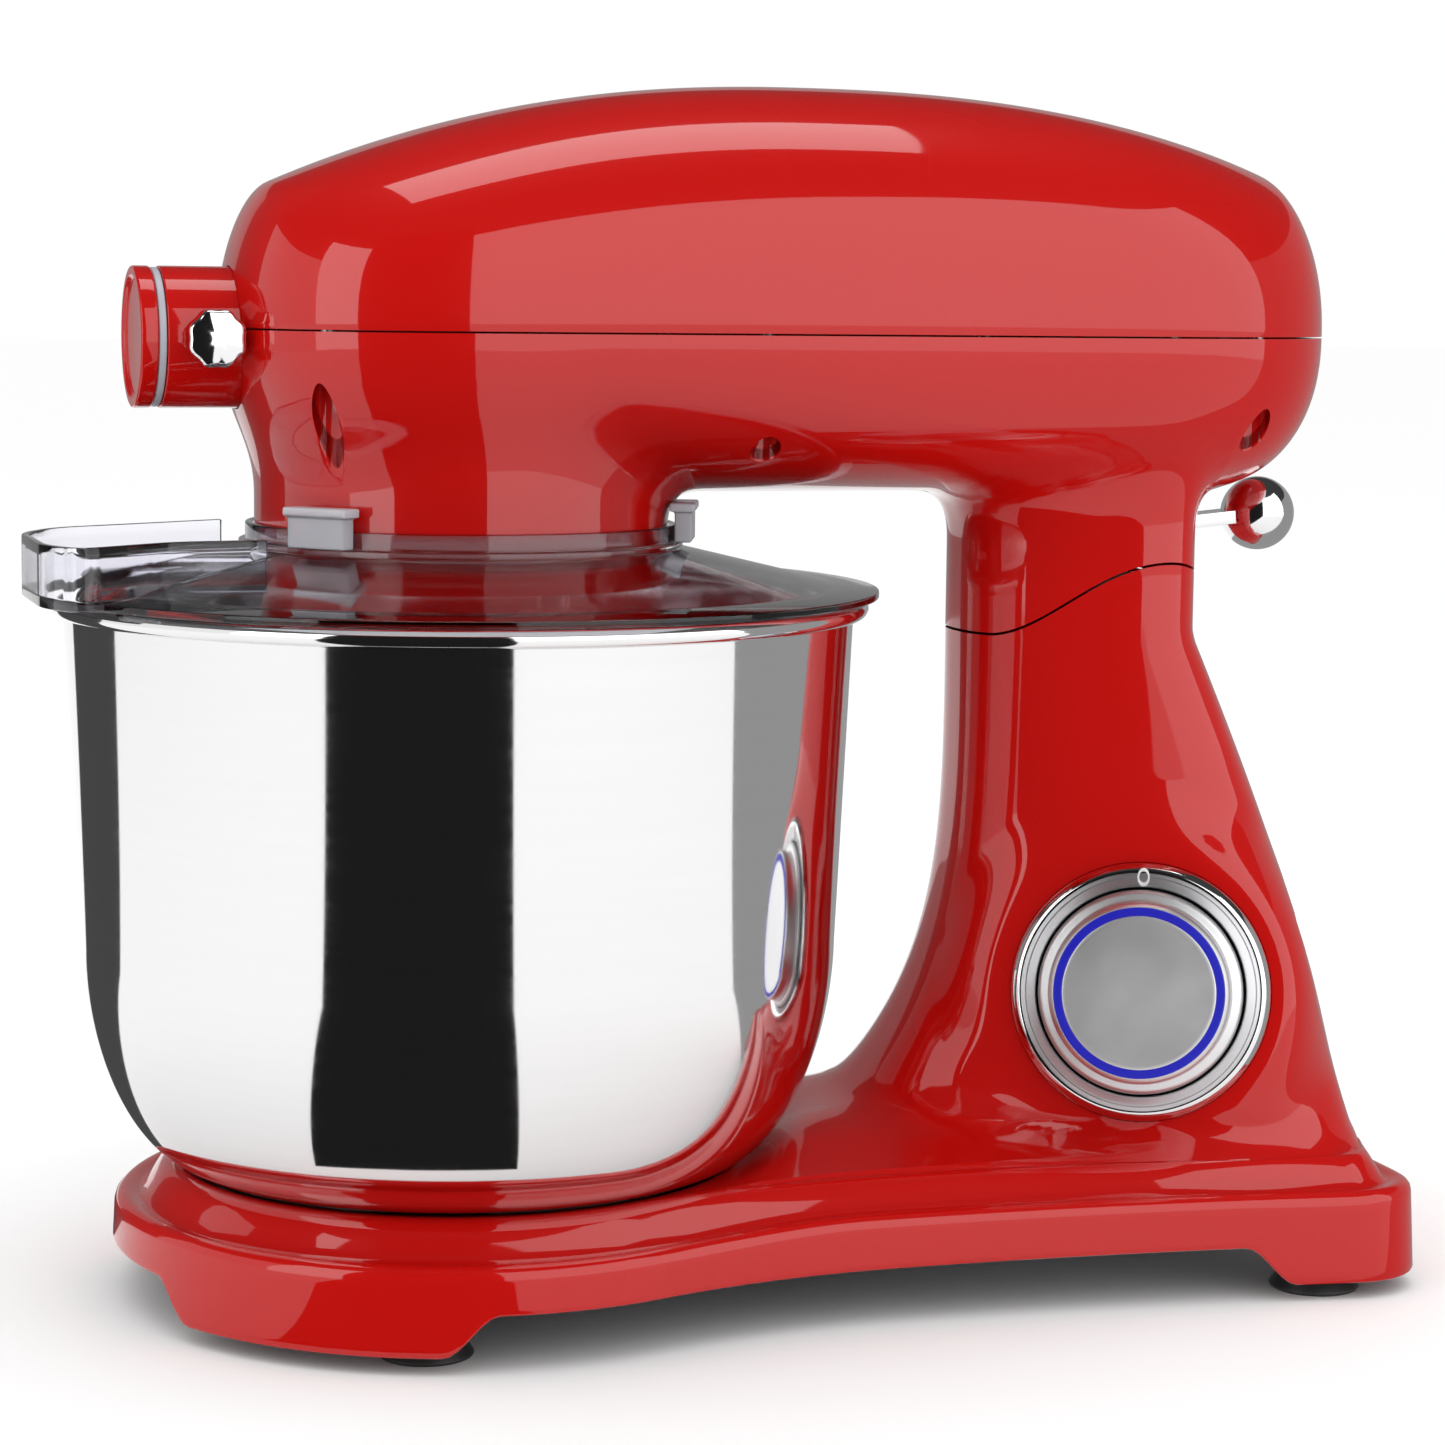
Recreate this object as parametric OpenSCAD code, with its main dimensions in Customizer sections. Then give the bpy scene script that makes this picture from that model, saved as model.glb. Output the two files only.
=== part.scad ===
// Tilt-head stand mixer: a steel bowl on a die-cast stand, with a tilting motor head, a clear
// splash guard, a planetary beater drive and a speed dial. Millimetres, +Z up, the front
// (attachment hub and bowl) towards -X, the dial on the -Y side. The origin is on the floor
// under the middle of the whole mixer; modules work from the bowl's axis and at_bowl() moves them.

/* [Bowl] */
// Outer radius of the bowl's rolled rim
rim_r = 120; // [100:1:144]
// Height of the bowl from its underside to the middle of the rolled rim
bowl_h = 164.2; // [137:0.1:197]
// Thickness of the bowl's sheet
bowl_wall = 1.2; // [0.8:0.1:1.8]
// Radius of the rolled edge's tube
rim_roll_r = 2.6; // [2:0.1:4]
// Outer radius of the bowl's foot ring
bowl_foot_r = 78; // [70:1:84]

/* [Head] */
// Width of the head
head_w = 132; // [118:1:158]
// Height from the head's seam to its crown
head_rise = 72.1; // [66:0.1:86]
// Height from the head's belly to its seam
head_drop = 47.2; // [44:0.1:56]
// How far the nose stands in front of the bowl's axis
nose_reach = 70.5; // [64:0.5:84]
// How far the head's tail hangs behind the neck
tail_reach = 43; // [38:0.5:50]
// Radius of the round housing over the bowl
housing_r = 60.5; // [57:0.5:70]
// Space between the bowl's rim and the head's belly
mouth_gap = 32.7; // [30:0.1:40]
// Wall thickness of the painted housings
wall = 3; // [2.5:0.1:3.6]
// Radius of the wells that the head's screws sit in
well_r = 4.5; // [4:0.1:5.4]

/* [Stand] */
// Length of the neck, front to back
neck_len = 68.5; // [62:0.5:80]
// Width of the neck
neck_w = 100; // [92:1:110]
// Gap between the bowl's rim and the neck
neck_gap = 36; // [31:1:43]
// Width of the base at its rear corners
base_w = 190; // [176:1:210]
// Height of the base's top face above the floor
base_top = 40; // [38:0.5:46]
// Radius of each suction foot
foot_r = 13.6; // [11.5:0.1:16]
// Radius of the tilt hinge's pin
hinge_pin_r = 5; // [4:0.1:6]
// Largest angle of the tilted head, in degrees
tilt_max = 40; // [30:1:42]

/* [Controls] */
// Outer radius of the dial's chrome bezel
bezel_r = 38.8; // [33:0.1:44]
// Radius of the turning knob
knob_r = 30.5; // [26:0.1:32]
// How far the knob's face stands off the stand
knob_reach = 26; // [22:0.5:31]
// Radius of the release lever's ball
ball_r = 11.5; // [9.6:0.1:13.8]
// Outer radius of the attachment hub
hub_r = 20.2; // [17:0.1:24]
// Radius of the hub's clamp knob
clamp_knob_r = 8.5; // [7:0.1:10]

/* [Drive] */
// Tooth size (module) of the drive gear pair
gear_m = 2; // [1.7:0.1:2.2]
// Tooth size (module) of the planetary ring and pinion
ring_m = 1.75; // [1.5:0.05:1.85]
// Radius of the central and beater shafts
shaft_r = 6; // [5:0.1:7]
// Outer radius of the large pulley
pulley_r = 36; // [30:0.5:38]
// Radius of the motor's stator
stator_r = 38; // [34:0.5:40]

/* [Fits] */
// Radial running clearance of shafts and pins in their bores
run_fit = 0.05; // [0.02:0.01:0.1]
// Gap between painted housings where they part
seam_gap = 0.5; // [0.3:0.1:1]
// Clearance between pieces that only pass each other
pass_gap = 0.5; // [0.3:0.1:1]

/* [Hidden] */

round_fn = 96;          // segments of the round parts
loft_rings = 20;        // stations along each lofted housing
loft_points = 36;       // points around each lofted section

// Heights, from the floor up
recess_floor = base_top - 6;
seat_top = recess_floor + 2;
bowl_z = seat_top + 3.6;
rim_z = bowl_z + bowl_h;
belly_z = rim_z + mouth_gap;
seam_z = belly_z + head_drop;
neck_z = belly_z - 43;
arch_z = 16.5;
lobe_z = 5;

// Places along X, from the bowl's axis
neck_front = rim_r + neck_gap;
neck_rear = neck_front + neck_len;
head_front = -nose_reach;
head_rear = neck_rear + tail_reach;
base_rear = neck_rear + 54.5;
base_front_r = rim_r - 16.5;
guard_r = rim_r + 3;
chute_reach = guard_r + 4.5;
bowl_x = (chute_reach - base_rear) / 2;

module at_bowl() { translate([bowl_x, 0, 0]) children(); }
// A lofted housing is evaluated as one closed mesh
module housing() { resize([0, 0, 0]) children(); }
module tube(outer, inner, h) {
    difference() {
        cylinder(r = outer, h = h, $fn = round_fn);
        translate([0, 0, -1]) cylinder(r = inner, h = h + 2, $fn = round_fn);
    }
}
module along_y(x, z) { translate([x, 0, z]) rotate([90, 0, 0]) children(); }
module both_sides() { children(); mirror([0, 1, 0]) children(); }

// Superellipse helpers: a rounded, slightly square section
function sgn_pow(v, p) = sign(v) * pow(abs(v), p);
function bulge(t, n) = pow(max(0, 1 - pow(min(1, max(0, t)), n)), 1 / n);

// A closed solid through equal rings of points
module loft(rings) {
    m = len(rings[0]);
    n = len(rings);
    polyhedron(
        points = [for (ring = rings) each ring],
        faces = concat(
            [[for (j = [0 : m - 1]) j]],
            [for (i = [0 : n - 2], j = [0 : m - 1])
                let (a = i * m + j, b = i * m + (j + 1) % m) each [[a, a + m, b], [b, a + m, b + m]]],
            [[for (j = [m - 1 : -1 : 0]) (n - 1) * m + j]]),
        convexity = 6);
}

// ---------- the head's outer form ----------
section_n = 2.3;        // squareness of the head's sections
crown_at = 0.5;         // where along its length the head is highest
crown_front = 0.51;     // how far the crown falls to the nose
crown_back = 0.415;     // how far it falls to the tail
nose_round = 14;        // rounding of the nose above the seam
tail_round = 20;
belly_front = 45;       // rounding of the belly at each end
belly_back = 36;
plan_front = nose_reach;
plan_back = 88;

function head_half(x, d) = (head_w / 2 - d)
    * bulge((plan_front - (x - head_front - d)) / plan_front, section_n)
    * bulge((plan_back - (head_rear - d - x)) / plan_back, section_n + 0.2);
function crown(u) = u < crown_at
    ? 1 - crown_front * pow((crown_at - u) / crown_at, 2.23)
    : 1 - crown_back * pow((u - crown_at) / (1 - crown_at), 2.47);
function head_up(x, d) = (head_rise - d) * crown((x - head_front) / (head_rear - head_front))
    * bulge(1 - (x - head_front - d) / nose_round, 2) * bulge(1 - (head_rear - d - x) / tail_round, 2);
function head_down(x, d) = (head_drop - d)
    * bulge(1 - (x - head_front - d) / belly_front, 2.2) * bulge(1 - (head_rear - d - x) / belly_back, 2);
function head_ring(x, d) = [for (j = [0 : loft_points - 1])
    let (a = 360 * j / loft_points, c = sgn_pow(cos(a), 2 / section_n), s = sgn_pow(sin(a), 2 / section_n))
    [x, head_half(x, d) * c, seam_z + (s > 0 ? head_up(x, d) : head_down(x, d)) * s]];
module head_form(d) {
    tip = 0.3;
    x0 = head_front + d + tip;
    x1 = head_rear - d - tip;
    loft([for (i = [0 : loft_rings]) head_ring((x0 + x1) / 2 - (x1 - x0) / 2 * cos(180 * i / loft_rings), d)]);
}

// ---------- the stand's column and the head's neck share one form ----------
column_n = 3;
column_taper = 0.5;     // the column is narrower at its front
function column_ring(z, d) =
    let (t = min(1, max(0, (z - base_top) / (neck_z - base_top))),
        front = neck_front - 44.5 * pow(1 - t, 3.8) + d,
        rear = neck_rear + 54 * (1 - pow(t, 1.33)) - d,
        half = neck_w / 2 + 28 * pow(1 - t, 5) + 14 * (1 - t) - d,
        middle = (front + rear) / 2, reach = (rear - front) / 2)
    [for (j = [0 : loft_points - 1])
        let (a = 360 * j / loft_points, c = sgn_pow(cos(a), 2 / column_n), s = sgn_pow(sin(a), 2 / column_n))
        [middle + reach * c, half * s * (1 - column_taper * (1 - c) / 2), z]];
module column_form(d, low, high) {
    loft([for (i = [0 : loft_rings]) column_ring(low + (high - low) * i / loft_rings, d)]);
}

// ---------- the S-shaped parting between stand and head ----------
// Behind the hinge it is an arc about the pin, so that the neck's edge slides round the column
pivot_x = neck_rear - 16;
pivot_z = neck_z - 3;
arc_r = 25;
part_low = neck_z - 0.6;
part_high = pivot_z + arc_r;
function parting(x, lift) = x < pivot_x
    ? let (u = min(1, max(0, (x - neck_front - 4) / (pivot_x - neck_front - 4))))
        part_low + (part_high - part_low) * (0.5 - 0.5 * cos(180 * pow(u, 0.8))) + lift
    : pivot_z + sqrt(max(0, pow(arc_r + lift, 2) - pow(x - pivot_x, 2)));
// Everything above the parting line, from neck_front to behind the column
module above_parting(lift, top) {
    steps = 24;
    x0 = neck_front - 60;
    x1 = pivot_x + arc_r + lift;
    rotate([90, 0, 0]) translate([0, 0, -head_w])
        linear_extrude(2 * head_w) polygon(concat(
            [[x1 + 60, top], [x0, top], [x0, part_low + lift]],
            [for (i = [0 : steps]) let (x = neck_front + (x1 - neck_front) * i / steps) [x, parting(x, lift)]],
            [[x1, pivot_z - 6 * lift], [x1 + 60, pivot_z - 6 * lift]]));
}

// ---------- the base's outline ----------
waist_x = neck_front - 47;
waist_half = base_front_r - 19.5;
blend_angle = 68;       // where the round front plate runs into the waist
corner_r = 24;
function side_half(x) = waist_half + (x < waist_x
    ? (base_front_r * sin(blend_angle) - waist_half)
        * pow((waist_x - x) / (waist_x - base_front_r * cos(blend_angle)), 2)
    : (base_w / 2 - waist_half) * pow((x - waist_x) / (base_rear - corner_r - waist_x), 2));
half_outline = concat(
    [for (a = [0 : 18 : 90]) [base_rear - corner_r + corner_r * cos(a), base_w / 2 - corner_r + corner_r * sin(a)]],
    [for (i = [1 : 7]) let (x0 = base_rear - corner_r, x1 = base_front_r * cos(blend_angle),
        x = x0 + (x1 - x0) * i / 8) [x, side_half(x)]],
    [for (i = [0 : 8]) let (a = blend_angle + (175 - blend_angle) * i / 8) base_front_r * [cos(a), sin(a)]]);
outline = concat(half_outline, [for (i = [len(half_outline) - 1 : -1 : 0]) [half_outline[i][0], -half_outline[i][1]]]);
function unit(v) = v / norm(v);
function inset_outline(d) = [for (i = [0 : len(outline) - 1])
    let (n = len(outline), t = unit(outline[(i + 1) % n] - outline[(i + n - 1) % n]))
    outline[i] + d * [-t[1], t[0]]];
function base_ring(z, d) = [for (p = inset_outline(d)) [p[0], p[1], z]];
skirt_draft = 1.2;
skirt_top = base_top - 8;  // height of the ridge along the top of the skirt
module base_form(d) {
    loft([base_ring(lobe_z - (d > 0 ? 3 : 0), d), base_ring(skirt_top - 4.5, d + skirt_draft),
        base_ring(skirt_top - 1.2, d + 2.4), base_ring(skirt_top - d / 2, d + 5.6),
        base_ring(base_top - 1 - d, d + 15), base_ring(base_top - d, d + 17.5)]);
}

// ---------- feet and screws ----------
front_foot = base_front_r * 0.78 * [cos(110), sin(110)];
rear_foot = [base_rear - 33, base_w / 2 - 19];
module at_feet() { for (p = [front_foot, rear_foot], s = [-1, 1]) translate([p[0], s * p[1], 0]) children(); }
// Plan of the skirt's four deep corners, which widen as they rise
module lobes(grow) {
    both_sides() {
        polygon([[0, 0], 2 * base_front_r * [cos(106 - grow), sin(106 - grow)], 2 * base_front_r * [cos(128), sin(128)],
            2 * base_front_r * [cos(151 + grow), sin(151 + grow)]]);
        translate([base_rear - 46 - 1.8 * grow, base_w / 2 - 40 - 1.8 * grow]) square([90, 90]);
    }
}
arch_steps = 6;
module skirt_arches() {
    step = (arch_z - lobe_z) / arch_steps;
    for (k = [0 : arch_steps - 1])
        translate([0, 0, k == 0 ? lobe_z - 4 : lobe_z + k * step]) linear_extrude(k == 0 ? step + 4 : step) difference() {
            translate([-2 * base_front_r, -base_w]) square([base_rear + 3 * base_front_r, 2 * base_w]);
            lobes(9 * pow(k / (arch_steps - 1), 2));
        }
}

recess_r = bowl_foot_r + 6;
shelf_z = neck_z - 39;
module stand_housing() {
    color("#b80d0d") at_bowl() housing() difference() {
        union() {
            base_form(0);
            difference() {
                column_form(0, base_top - 4, belly_z);
                above_parting(0, belly_z + 60);
            }
        }
        difference() {
            base_form(wall);
            translate([0, 0, recess_floor - wall]) cylinder(r = recess_r + wall, h = 60, $fn = 64);
            at_base_screws() translate([0, 0, arch_z + 3.4]) cylinder(r = screw_r + 3, h = 60, $fn = 24);
        }
        at_base_screws() translate([0, 0, arch_z]) cylinder(r = screw_r + 0.2, h = 8.2, $fn = 24);
        difference() {
            column_form(wall, base_top - 6, belly_z + 1);
            translate([0, -base_w, shelf_z - wall]) cube([2 * base_rear, 2 * base_w, wall]);
        }
        translate([neck_front + 20, 0, shelf_z - 2 * wall]) cylinder(r = 7, h = 3 * wall, $fn = 24);
        translate([0, 0, recess_floor]) cylinder(r = recess_r, h = 60, $fn = 64);
        skirt_arches();
        on_dial() translate([0, 0, -20]) cylinder(r = bezel_r + pass_gap / 2, h = 40, $fn = 64);
        translate([base_rear - 9, grommet_y, grommet_z]) rotate([0, 90, 0]) cylinder(r = grommet_r + 0.2, h = 20, $fn = 32);
    }
}

plate_t = 2.5;
module base_plate() {
    color("#1b1b1b") at_bowl() translate([0, 0, arch_z + 0.4]) difference() {
        linear_extrude(plate_t) polygon(inset_outline(wall + skirt_draft + 1.2));
        at_base_screws() translate([0, 0, -1]) cylinder(r = screw_r + 0.2, h = 9, $fn = 32);
        at_feet() translate([0, 0, -1]) cylinder(r = stem_r - 3, h = 9, $fn = 32);
    }
}

stem_r = foot_r - 4.4;
module suction_feet() {
    color("#161616") at_bowl() at_feet() {
        rotate_extrude($fn = round_fn) polygon([[foot_r - 6, 0], [foot_r - 0.6, 0], [foot_r, 0.8],
            [foot_r - 1.2, 2.6], [stem_r + 1, 6.2], [stem_r, 7.4], [stem_r, arch_z + 0.4], [0, arch_z + 0.4],
            [0, 2.2], [foot_r - 9, 1.6]]);
        translate([0, 0, arch_z + 0.4]) cylinder(r = stem_r - 3.2, h = plate_t + 3, $fn = 32);
    }
}

screw_r = 2;
module screw(head_r, head_h, len) {
    difference() {
        cylinder(r = head_r, h = head_h, $fn = 32);
        for (a = [0, 90]) rotate(a) translate([-head_r / 2, -0.4, -1]) cube([head_r, 0.8, 1 + head_h / 2]);
    }
    translate([0, 0, head_h]) cylinder(r = screw_r, h = len, $fn = 32);
}
module at_base_screws() {
    for (p = [[waist_x, waist_half - 22], [base_rear - 8, base_w / 2 - 35]], s = [-1, 1])
        translate([p[0], s * p[1], 0]) children();
    translate([-base_front_r / 2, 0, 0]) children();
}
module base_screws() {
    color("#8c8c8c") at_bowl() at_base_screws() translate([0, 0, arch_z - 1.8]) screw(3.8, 2.2, 7);
}

// ---------- bowl, its foot and the seat it twists into ----------
lug_turn = 40;          // angle that each bayonet lug covers
lug_in_r = bowl_foot_r - 14;
module lugs(r_in, r_out, z0, z1, shift) {
    for (k = [0 : 2]) rotate(120 * k + shift) translate([0, 0, z0])
        rotate_extrude(angle = lug_turn, $fn = round_fn) translate([r_in, 0]) square([r_out - r_in, z1 - z0]);
}
module bowl_seat() {
    color("#3a3a3a") at_bowl() {
        translate([0, 0, recess_floor]) cylinder(r = recess_r - pass_gap, h = seat_top - recess_floor, $fn = round_fn);
        translate([0, 0, seat_top]) cylinder(r = lug_in_r - 4, h = 3.1, $fn = round_fn);
        lugs(lug_in_r - 4.5, lug_in_r + 2.5, seat_top + 2.1, seat_top + 3.1, 0);
    }
}
module bowl_foot() {
    color("#c9cbcd") at_bowl() {
        translate([0, 0, seat_top + 0.3]) tube(bowl_foot_r, bowl_foot_r - 8, bowl_z - seat_top - 0.3);
        lugs(lug_in_r + 0.5, bowl_foot_r - 7.5, seat_top + 0.3, seat_top + 1.6, 0);
    }
}
flare_z = 66;           // height over which the bowl's side curves in to its foot
side_r = rim_r - 4.3;   // radius of the bowl's side under the rim
waist_r = side_r - 4.4; // and where its lower curve starts
curve_n = 1.85;
function bowl_profile(d) = concat(
    [[0, bowl_z + d]],
    [for (i = [0 : 14]) let (a = 90 * i / 14, floor_r = bowl_foot_r + 1)
        [floor_r + (waist_r - floor_r) * sgn_pow(sin(a), 2 / curve_n) - d,
            bowl_z + d + (flare_z - d) * (1 - sgn_pow(cos(a), 2 / curve_n))]],
    [[side_r - d, rim_z]]);
module mixing_bowl() {
    color("#d5d7d9") at_bowl() {
        rotate_extrude($fn = round_fn) {
            outer = bowl_profile(0);
            inner = bowl_profile(bowl_wall);
            polygon(concat(outer, [for (i = [len(inner) - 1 : -1 : 0]) inner[i]]));
            translate([rim_r - rim_roll_r, rim_z]) circle(r = rim_roll_r, $fn = 32);
        }
    }
}

// ---------- tilt hinge ----------
cheek_y = 22.4;
cheek_t = 5;
knuckle_r = 10;
module hinge_bracket() {
    color("#7d8084") at_bowl() {
        difference() {
            both_sides() translate([0, cheek_y, 0]) {
                translate([pivot_x, cheek_t, pivot_z]) rotate([90, 0, 0]) cylinder(r = knuckle_r, h = cheek_t, $fn = round_fn);
                translate([pivot_x - knuckle_r, 0, shelf_z]) cube([2 * knuckle_r, cheek_t, pivot_z - shelf_z]);
            }
            along_y(pivot_x, pivot_z) cylinder(r = hinge_pin_r, h = 80, center = true, $fn = round_fn);
        }
        translate([pivot_x - knuckle_r, -cheek_y, shelf_z]) cube([2 * knuckle_r, 2 * cheek_y, 4]);
    }
}
module hinge_pin() {
    color("#b9bcc0") at_bowl() along_y(pivot_x, pivot_z)
        cylinder(r = hinge_pin_r, h = 2 * (cheek_y + cheek_t + 1.5), center = true, $fn = round_fn);
}
arm_lean = -31;         // the arm leans forward of the pin, so that it stands upright when tilted
arm_t = 15;
arm_half = 20;
frame_z = belly_z + 11;
frame_t = 4;
module hinge_arm() {
    color("#6f7276") at_bowl() difference() {
        union() {
            along_y(pivot_x, pivot_z) cylinder(r = knuckle_r, h = 2 * (cheek_y - 0.4), center = true, $fn = round_fn);
            intersection() {
                translate([pivot_x, 0, pivot_z]) rotate([0, arm_lean, 0]) translate([-arm_t / 2, -arm_half, 0])
                    cube([arm_t, 2 * arm_half, 90]);
                translate([0, -50, 0]) cube([400, 100, frame_z - 5]);
            }
            translate([pivot_x - 52, -arm_half, frame_z - 5]) cube([40, 2 * arm_half, 5]);
        }
        along_y(pivot_x, pivot_z) cylinder(r = hinge_pin_r + run_fit, h = 80, center = true, $fn = round_fn);
    }
}
module latch_keeper() {
    color("#8f9296") at_bowl() both_sides()
        translate([pivot_x + knuckle_r + 0.5, 5.5, shelf_z]) cube([2, 5, pivot_z + 18 - shelf_z]);
}

// ---------- speed dial ----------
dial_pitch = 80.2;      // angle of the dial's axis from the vertical
dial_turn = 244.7;      // and its heading, measured about +Z
dial_at = [neck_rear - 27.5, -(neck_w / 2 + 3.5), base_top + 48];
module on_dial() { translate(dial_at) rotate([0, dial_pitch, dial_turn]) children(); }
bezel_back = -10;
module dial_bezel() {
    color("#c4c6c8") at_bowl() on_dial() difference() {
        rotate_extrude($fn = round_fn) polygon([[knob_r + 0.8, bezel_back], [bezel_r, bezel_back], [bezel_r, 2],
            [bezel_r - 1.6, 4.4], [bezel_r - 3, 5], [knob_r + 1.4, 2.6], [knob_r + 0.8, 2]]);
        translate([-(bezel_r - 4.2), 0, 3.6]) scale([1, 1, 1]) tube(1.7, 1.1, 3);
    }
}
switch_back = -24;
module speed_switch() {
    color("#2d2f31") at_bowl() on_dial() {
        translate([-14, -14, switch_back]) cube([28, 28, 12]);
        translate([0, 0, switch_back + 12]) cylinder(r = 3, h = 14, $fn = 48);
        translate([0, 0, bezel_back - 2]) difference() {
            cylinder(r = knob_r + 1.5, h = 2, $fn = round_fn);
            translate([0, 0, -1]) cylinder(r = 4, h = 4, $fn = 48);
        }
    }
}
module control_board() {
    color("#1f6a3c") at_bowl() translate([neck_front + 30, -26, base_top + 4]) {
        cube([60, 52, 1.6]);
        translate([8, 8, 1.6]) cube([22, 16, 14]);
        translate([40, 12, 1.6]) cylinder(r = 7, h = 20, $fn = 48);
    }
}
module speed_knob() {
    color("#b4b6b8") at_bowl() on_dial() difference() {
        rotate_extrude($fn = round_fn) polygon([[0, -5], [knob_r, -5], [knob_r, 6.5], [knob_r - 1, 7.6],
            [knob_r - 3.4, 8.2], [knob_r - 4, knob_reach - 1.4], [knob_r - 5.2, knob_reach - 0.2],
            [light_r, knob_reach - 0.2], [light_r, knob_reach - 2], [0, knob_reach - 2]]);
        translate([0, 0, -9]) cylinder(r = 3 + run_fit, h = 12, $fn = 48);
    }
}
light_r = knob_r - 5.4;
light_w = 2.5;
module knob_light_ring() {
    color("#1414a8") at_bowl() on_dial() translate([0, 0, knob_reach - 2]) tube(light_r, light_r - light_w, 2);
}
module knob_cap() {
    color("#b0b2b4") at_bowl() on_dial() translate([0, 0, knob_reach - 2])
        cylinder(r = light_r - light_w, h = 2.2, $fn = round_fn);
}

grommet_r = 4;
grommet_y = 40;
grommet_z = arch_z + 8.7;
module cord_grommet() {
    color("#161616") at_bowl() translate([base_rear - 8, grommet_y, grommet_z]) rotate([0, 90, 0]) {
        tube(grommet_r, grommet_r - 1.3, 8);
        tube(grommet_r + 0.8, grommet_r - 1.3, 1.5);
    }
}

// ---------- head shells ----------
// Each well: its place along X, and how far it lies inside the head's widest outline
wells = [[head_front + 22, 8], [neck_front - 79, 15], [neck_rear + 7, 9]];
module at_wells() {
    for (p = wells, s = [-1, 1]) translate([p[0], s * (head_half(p[0], 0) - p[1]), 0]) children();
}
well_top = seam_z - 12;
module head_top_cover() {
    color("#bd0f0f") at_bowl() housing() {
        difference() {
            head_form(0);
            translate([-500, -500, seam_z + seam_gap / 2 - 1000]) cube(1000);
            difference() {
                head_form(wall);
                at_wells() translate([0, 0, seam_z]) cylinder(r = screw_r + 2.5, h = 200, $fn = 16);
            }
            at_wells() translate([0, 0, seam_z - 1]) cylinder(r = screw_r + 0.2, h = 9, $fn = 16);
            translate([head_front, 0, hub_z]) rotate([0, 90, 0]) cylinder(r = hub_r + 0.3, h = 30, center = true, $fn = 48);
        }
    }
}
hub_z = seam_z - 2.7;
housing_top = seam_z - 12;
lever_z = belly_z - 12;
lever_x = pivot_x + 7.5;
module head_lower_shell() {
    color("#b50c0c") at_bowl() housing() difference() {
        union() {
            difference() {
                union() {
                    head_form(0);
                    translate([0, 0, rim_z + 4]) cylinder(r = housing_r, h = housing_top - rim_z - 4, $fn = 64);
                }
                translate([-500, -500, seam_z - seam_gap / 2]) cube(1000);
            }
            intersection() {
                column_form(0, neck_z - 8, belly_z + 12);
                above_parting(0.8, belly_z + 20);
            }
        }
        difference() {
            union() {
                head_form(wall);
                translate([0, 0, rim_z - 1]) cylinder(r = housing_r - wall, h = housing_top - rim_z, $fn = 64);
                column_form(wall, neck_z - 9, belly_z + 8);
            }
            at_wells() translate([0, 0, rim_z]) cylinder(r = well_r + 2.5, h = 200, $fn = 24);
        }
        at_wells() {
            translate([0, 0, rim_z - 1]) cylinder(r = well_r, h = well_top - rim_z + 1, $fn = 24);
            translate([0, 0, rim_z]) cylinder(r = screw_r + 0.2, h = 200, $fn = 16);
        }
        translate([head_front, 0, hub_z]) rotate([0, 90, 0]) cylinder(r = hub_r + 0.3, h = 30, center = true, $fn = 48);
        translate([lever_x, -7.5, lever_z - 8]) cube([40, 15, 13.5]);
    }
}
module head_screws() {
    color("#8c8c8c") at_bowl() at_wells() translate([0, 0, well_top - 2.4]) screw(3.6, 2.4, 18);
}

// ---------- gearbox ----------
gear_teeth = 40;
pinion_teeth = 12;
lay_x = gear_m * (gear_teeth + pinion_teeth) / 2;
gear_z = frame_z + frame_t + 2.5;
gear_h = 8;
lid_z = gear_z + gear_h + 2;
lid_t = 3;
belt_z = lid_z + lid_t + 2;
pulley_h = 8;
motor_z = belt_z + pulley_h + 2;
motor_x = neck_rear - 30;
bearing_r = shaft_r + 3;
tooth_root = 0.26;      // half width of a tooth at its root, as a part of the pitch
tooth_tip = 0.11;       // and at its tip: thin teeth with generous backlash
// Outline of a gear: straight-sided teeth, a tooth pointing along +X
function teeth(n, m, root, tip, add, ded) = [for (k = [0 : n - 1]) let (p = 360 / n, a = k * p,
    r0 = m * n / 2 - ded * m, r1 = m * n / 2 + add * m)
    each [r0 * [cos(a - root * p), sin(a - root * p)], r1 * [cos(a - tip * p), sin(a - tip * p)],
        r1 * [cos(a + tip * p), sin(a + tip * p)], r0 * [cos(a + root * p), sin(a + root * p)]]];
module spur(n, m, h, bore) {
    difference() {
        linear_extrude(h) polygon(teeth(n, m, tooth_root, tooth_tip, 0.7, 1.1));
        translate([0, 0, -1]) cylinder(r = bore, h = h + 2, $fn = round_fn);
    }
}
frame_half = 36;
frame_front = -40;
frame_wide_to = neck_front - 6;
frame_narrow = 22;
frame_posts = [[frame_front + 4, frame_half - 4], [lay_x + 40, frame_half - 4]];
ring_teeth = 48;
planet_teeth = 16;
orbit_r = ring_m * (ring_teeth - planet_teeth) / 2;
carrier_z = rim_z + 3.5;
planet_z = carrier_z + 8;
planet_h = 8;
ring_top = planet_z + planet_h + 1;
lay_r = 4;
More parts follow.
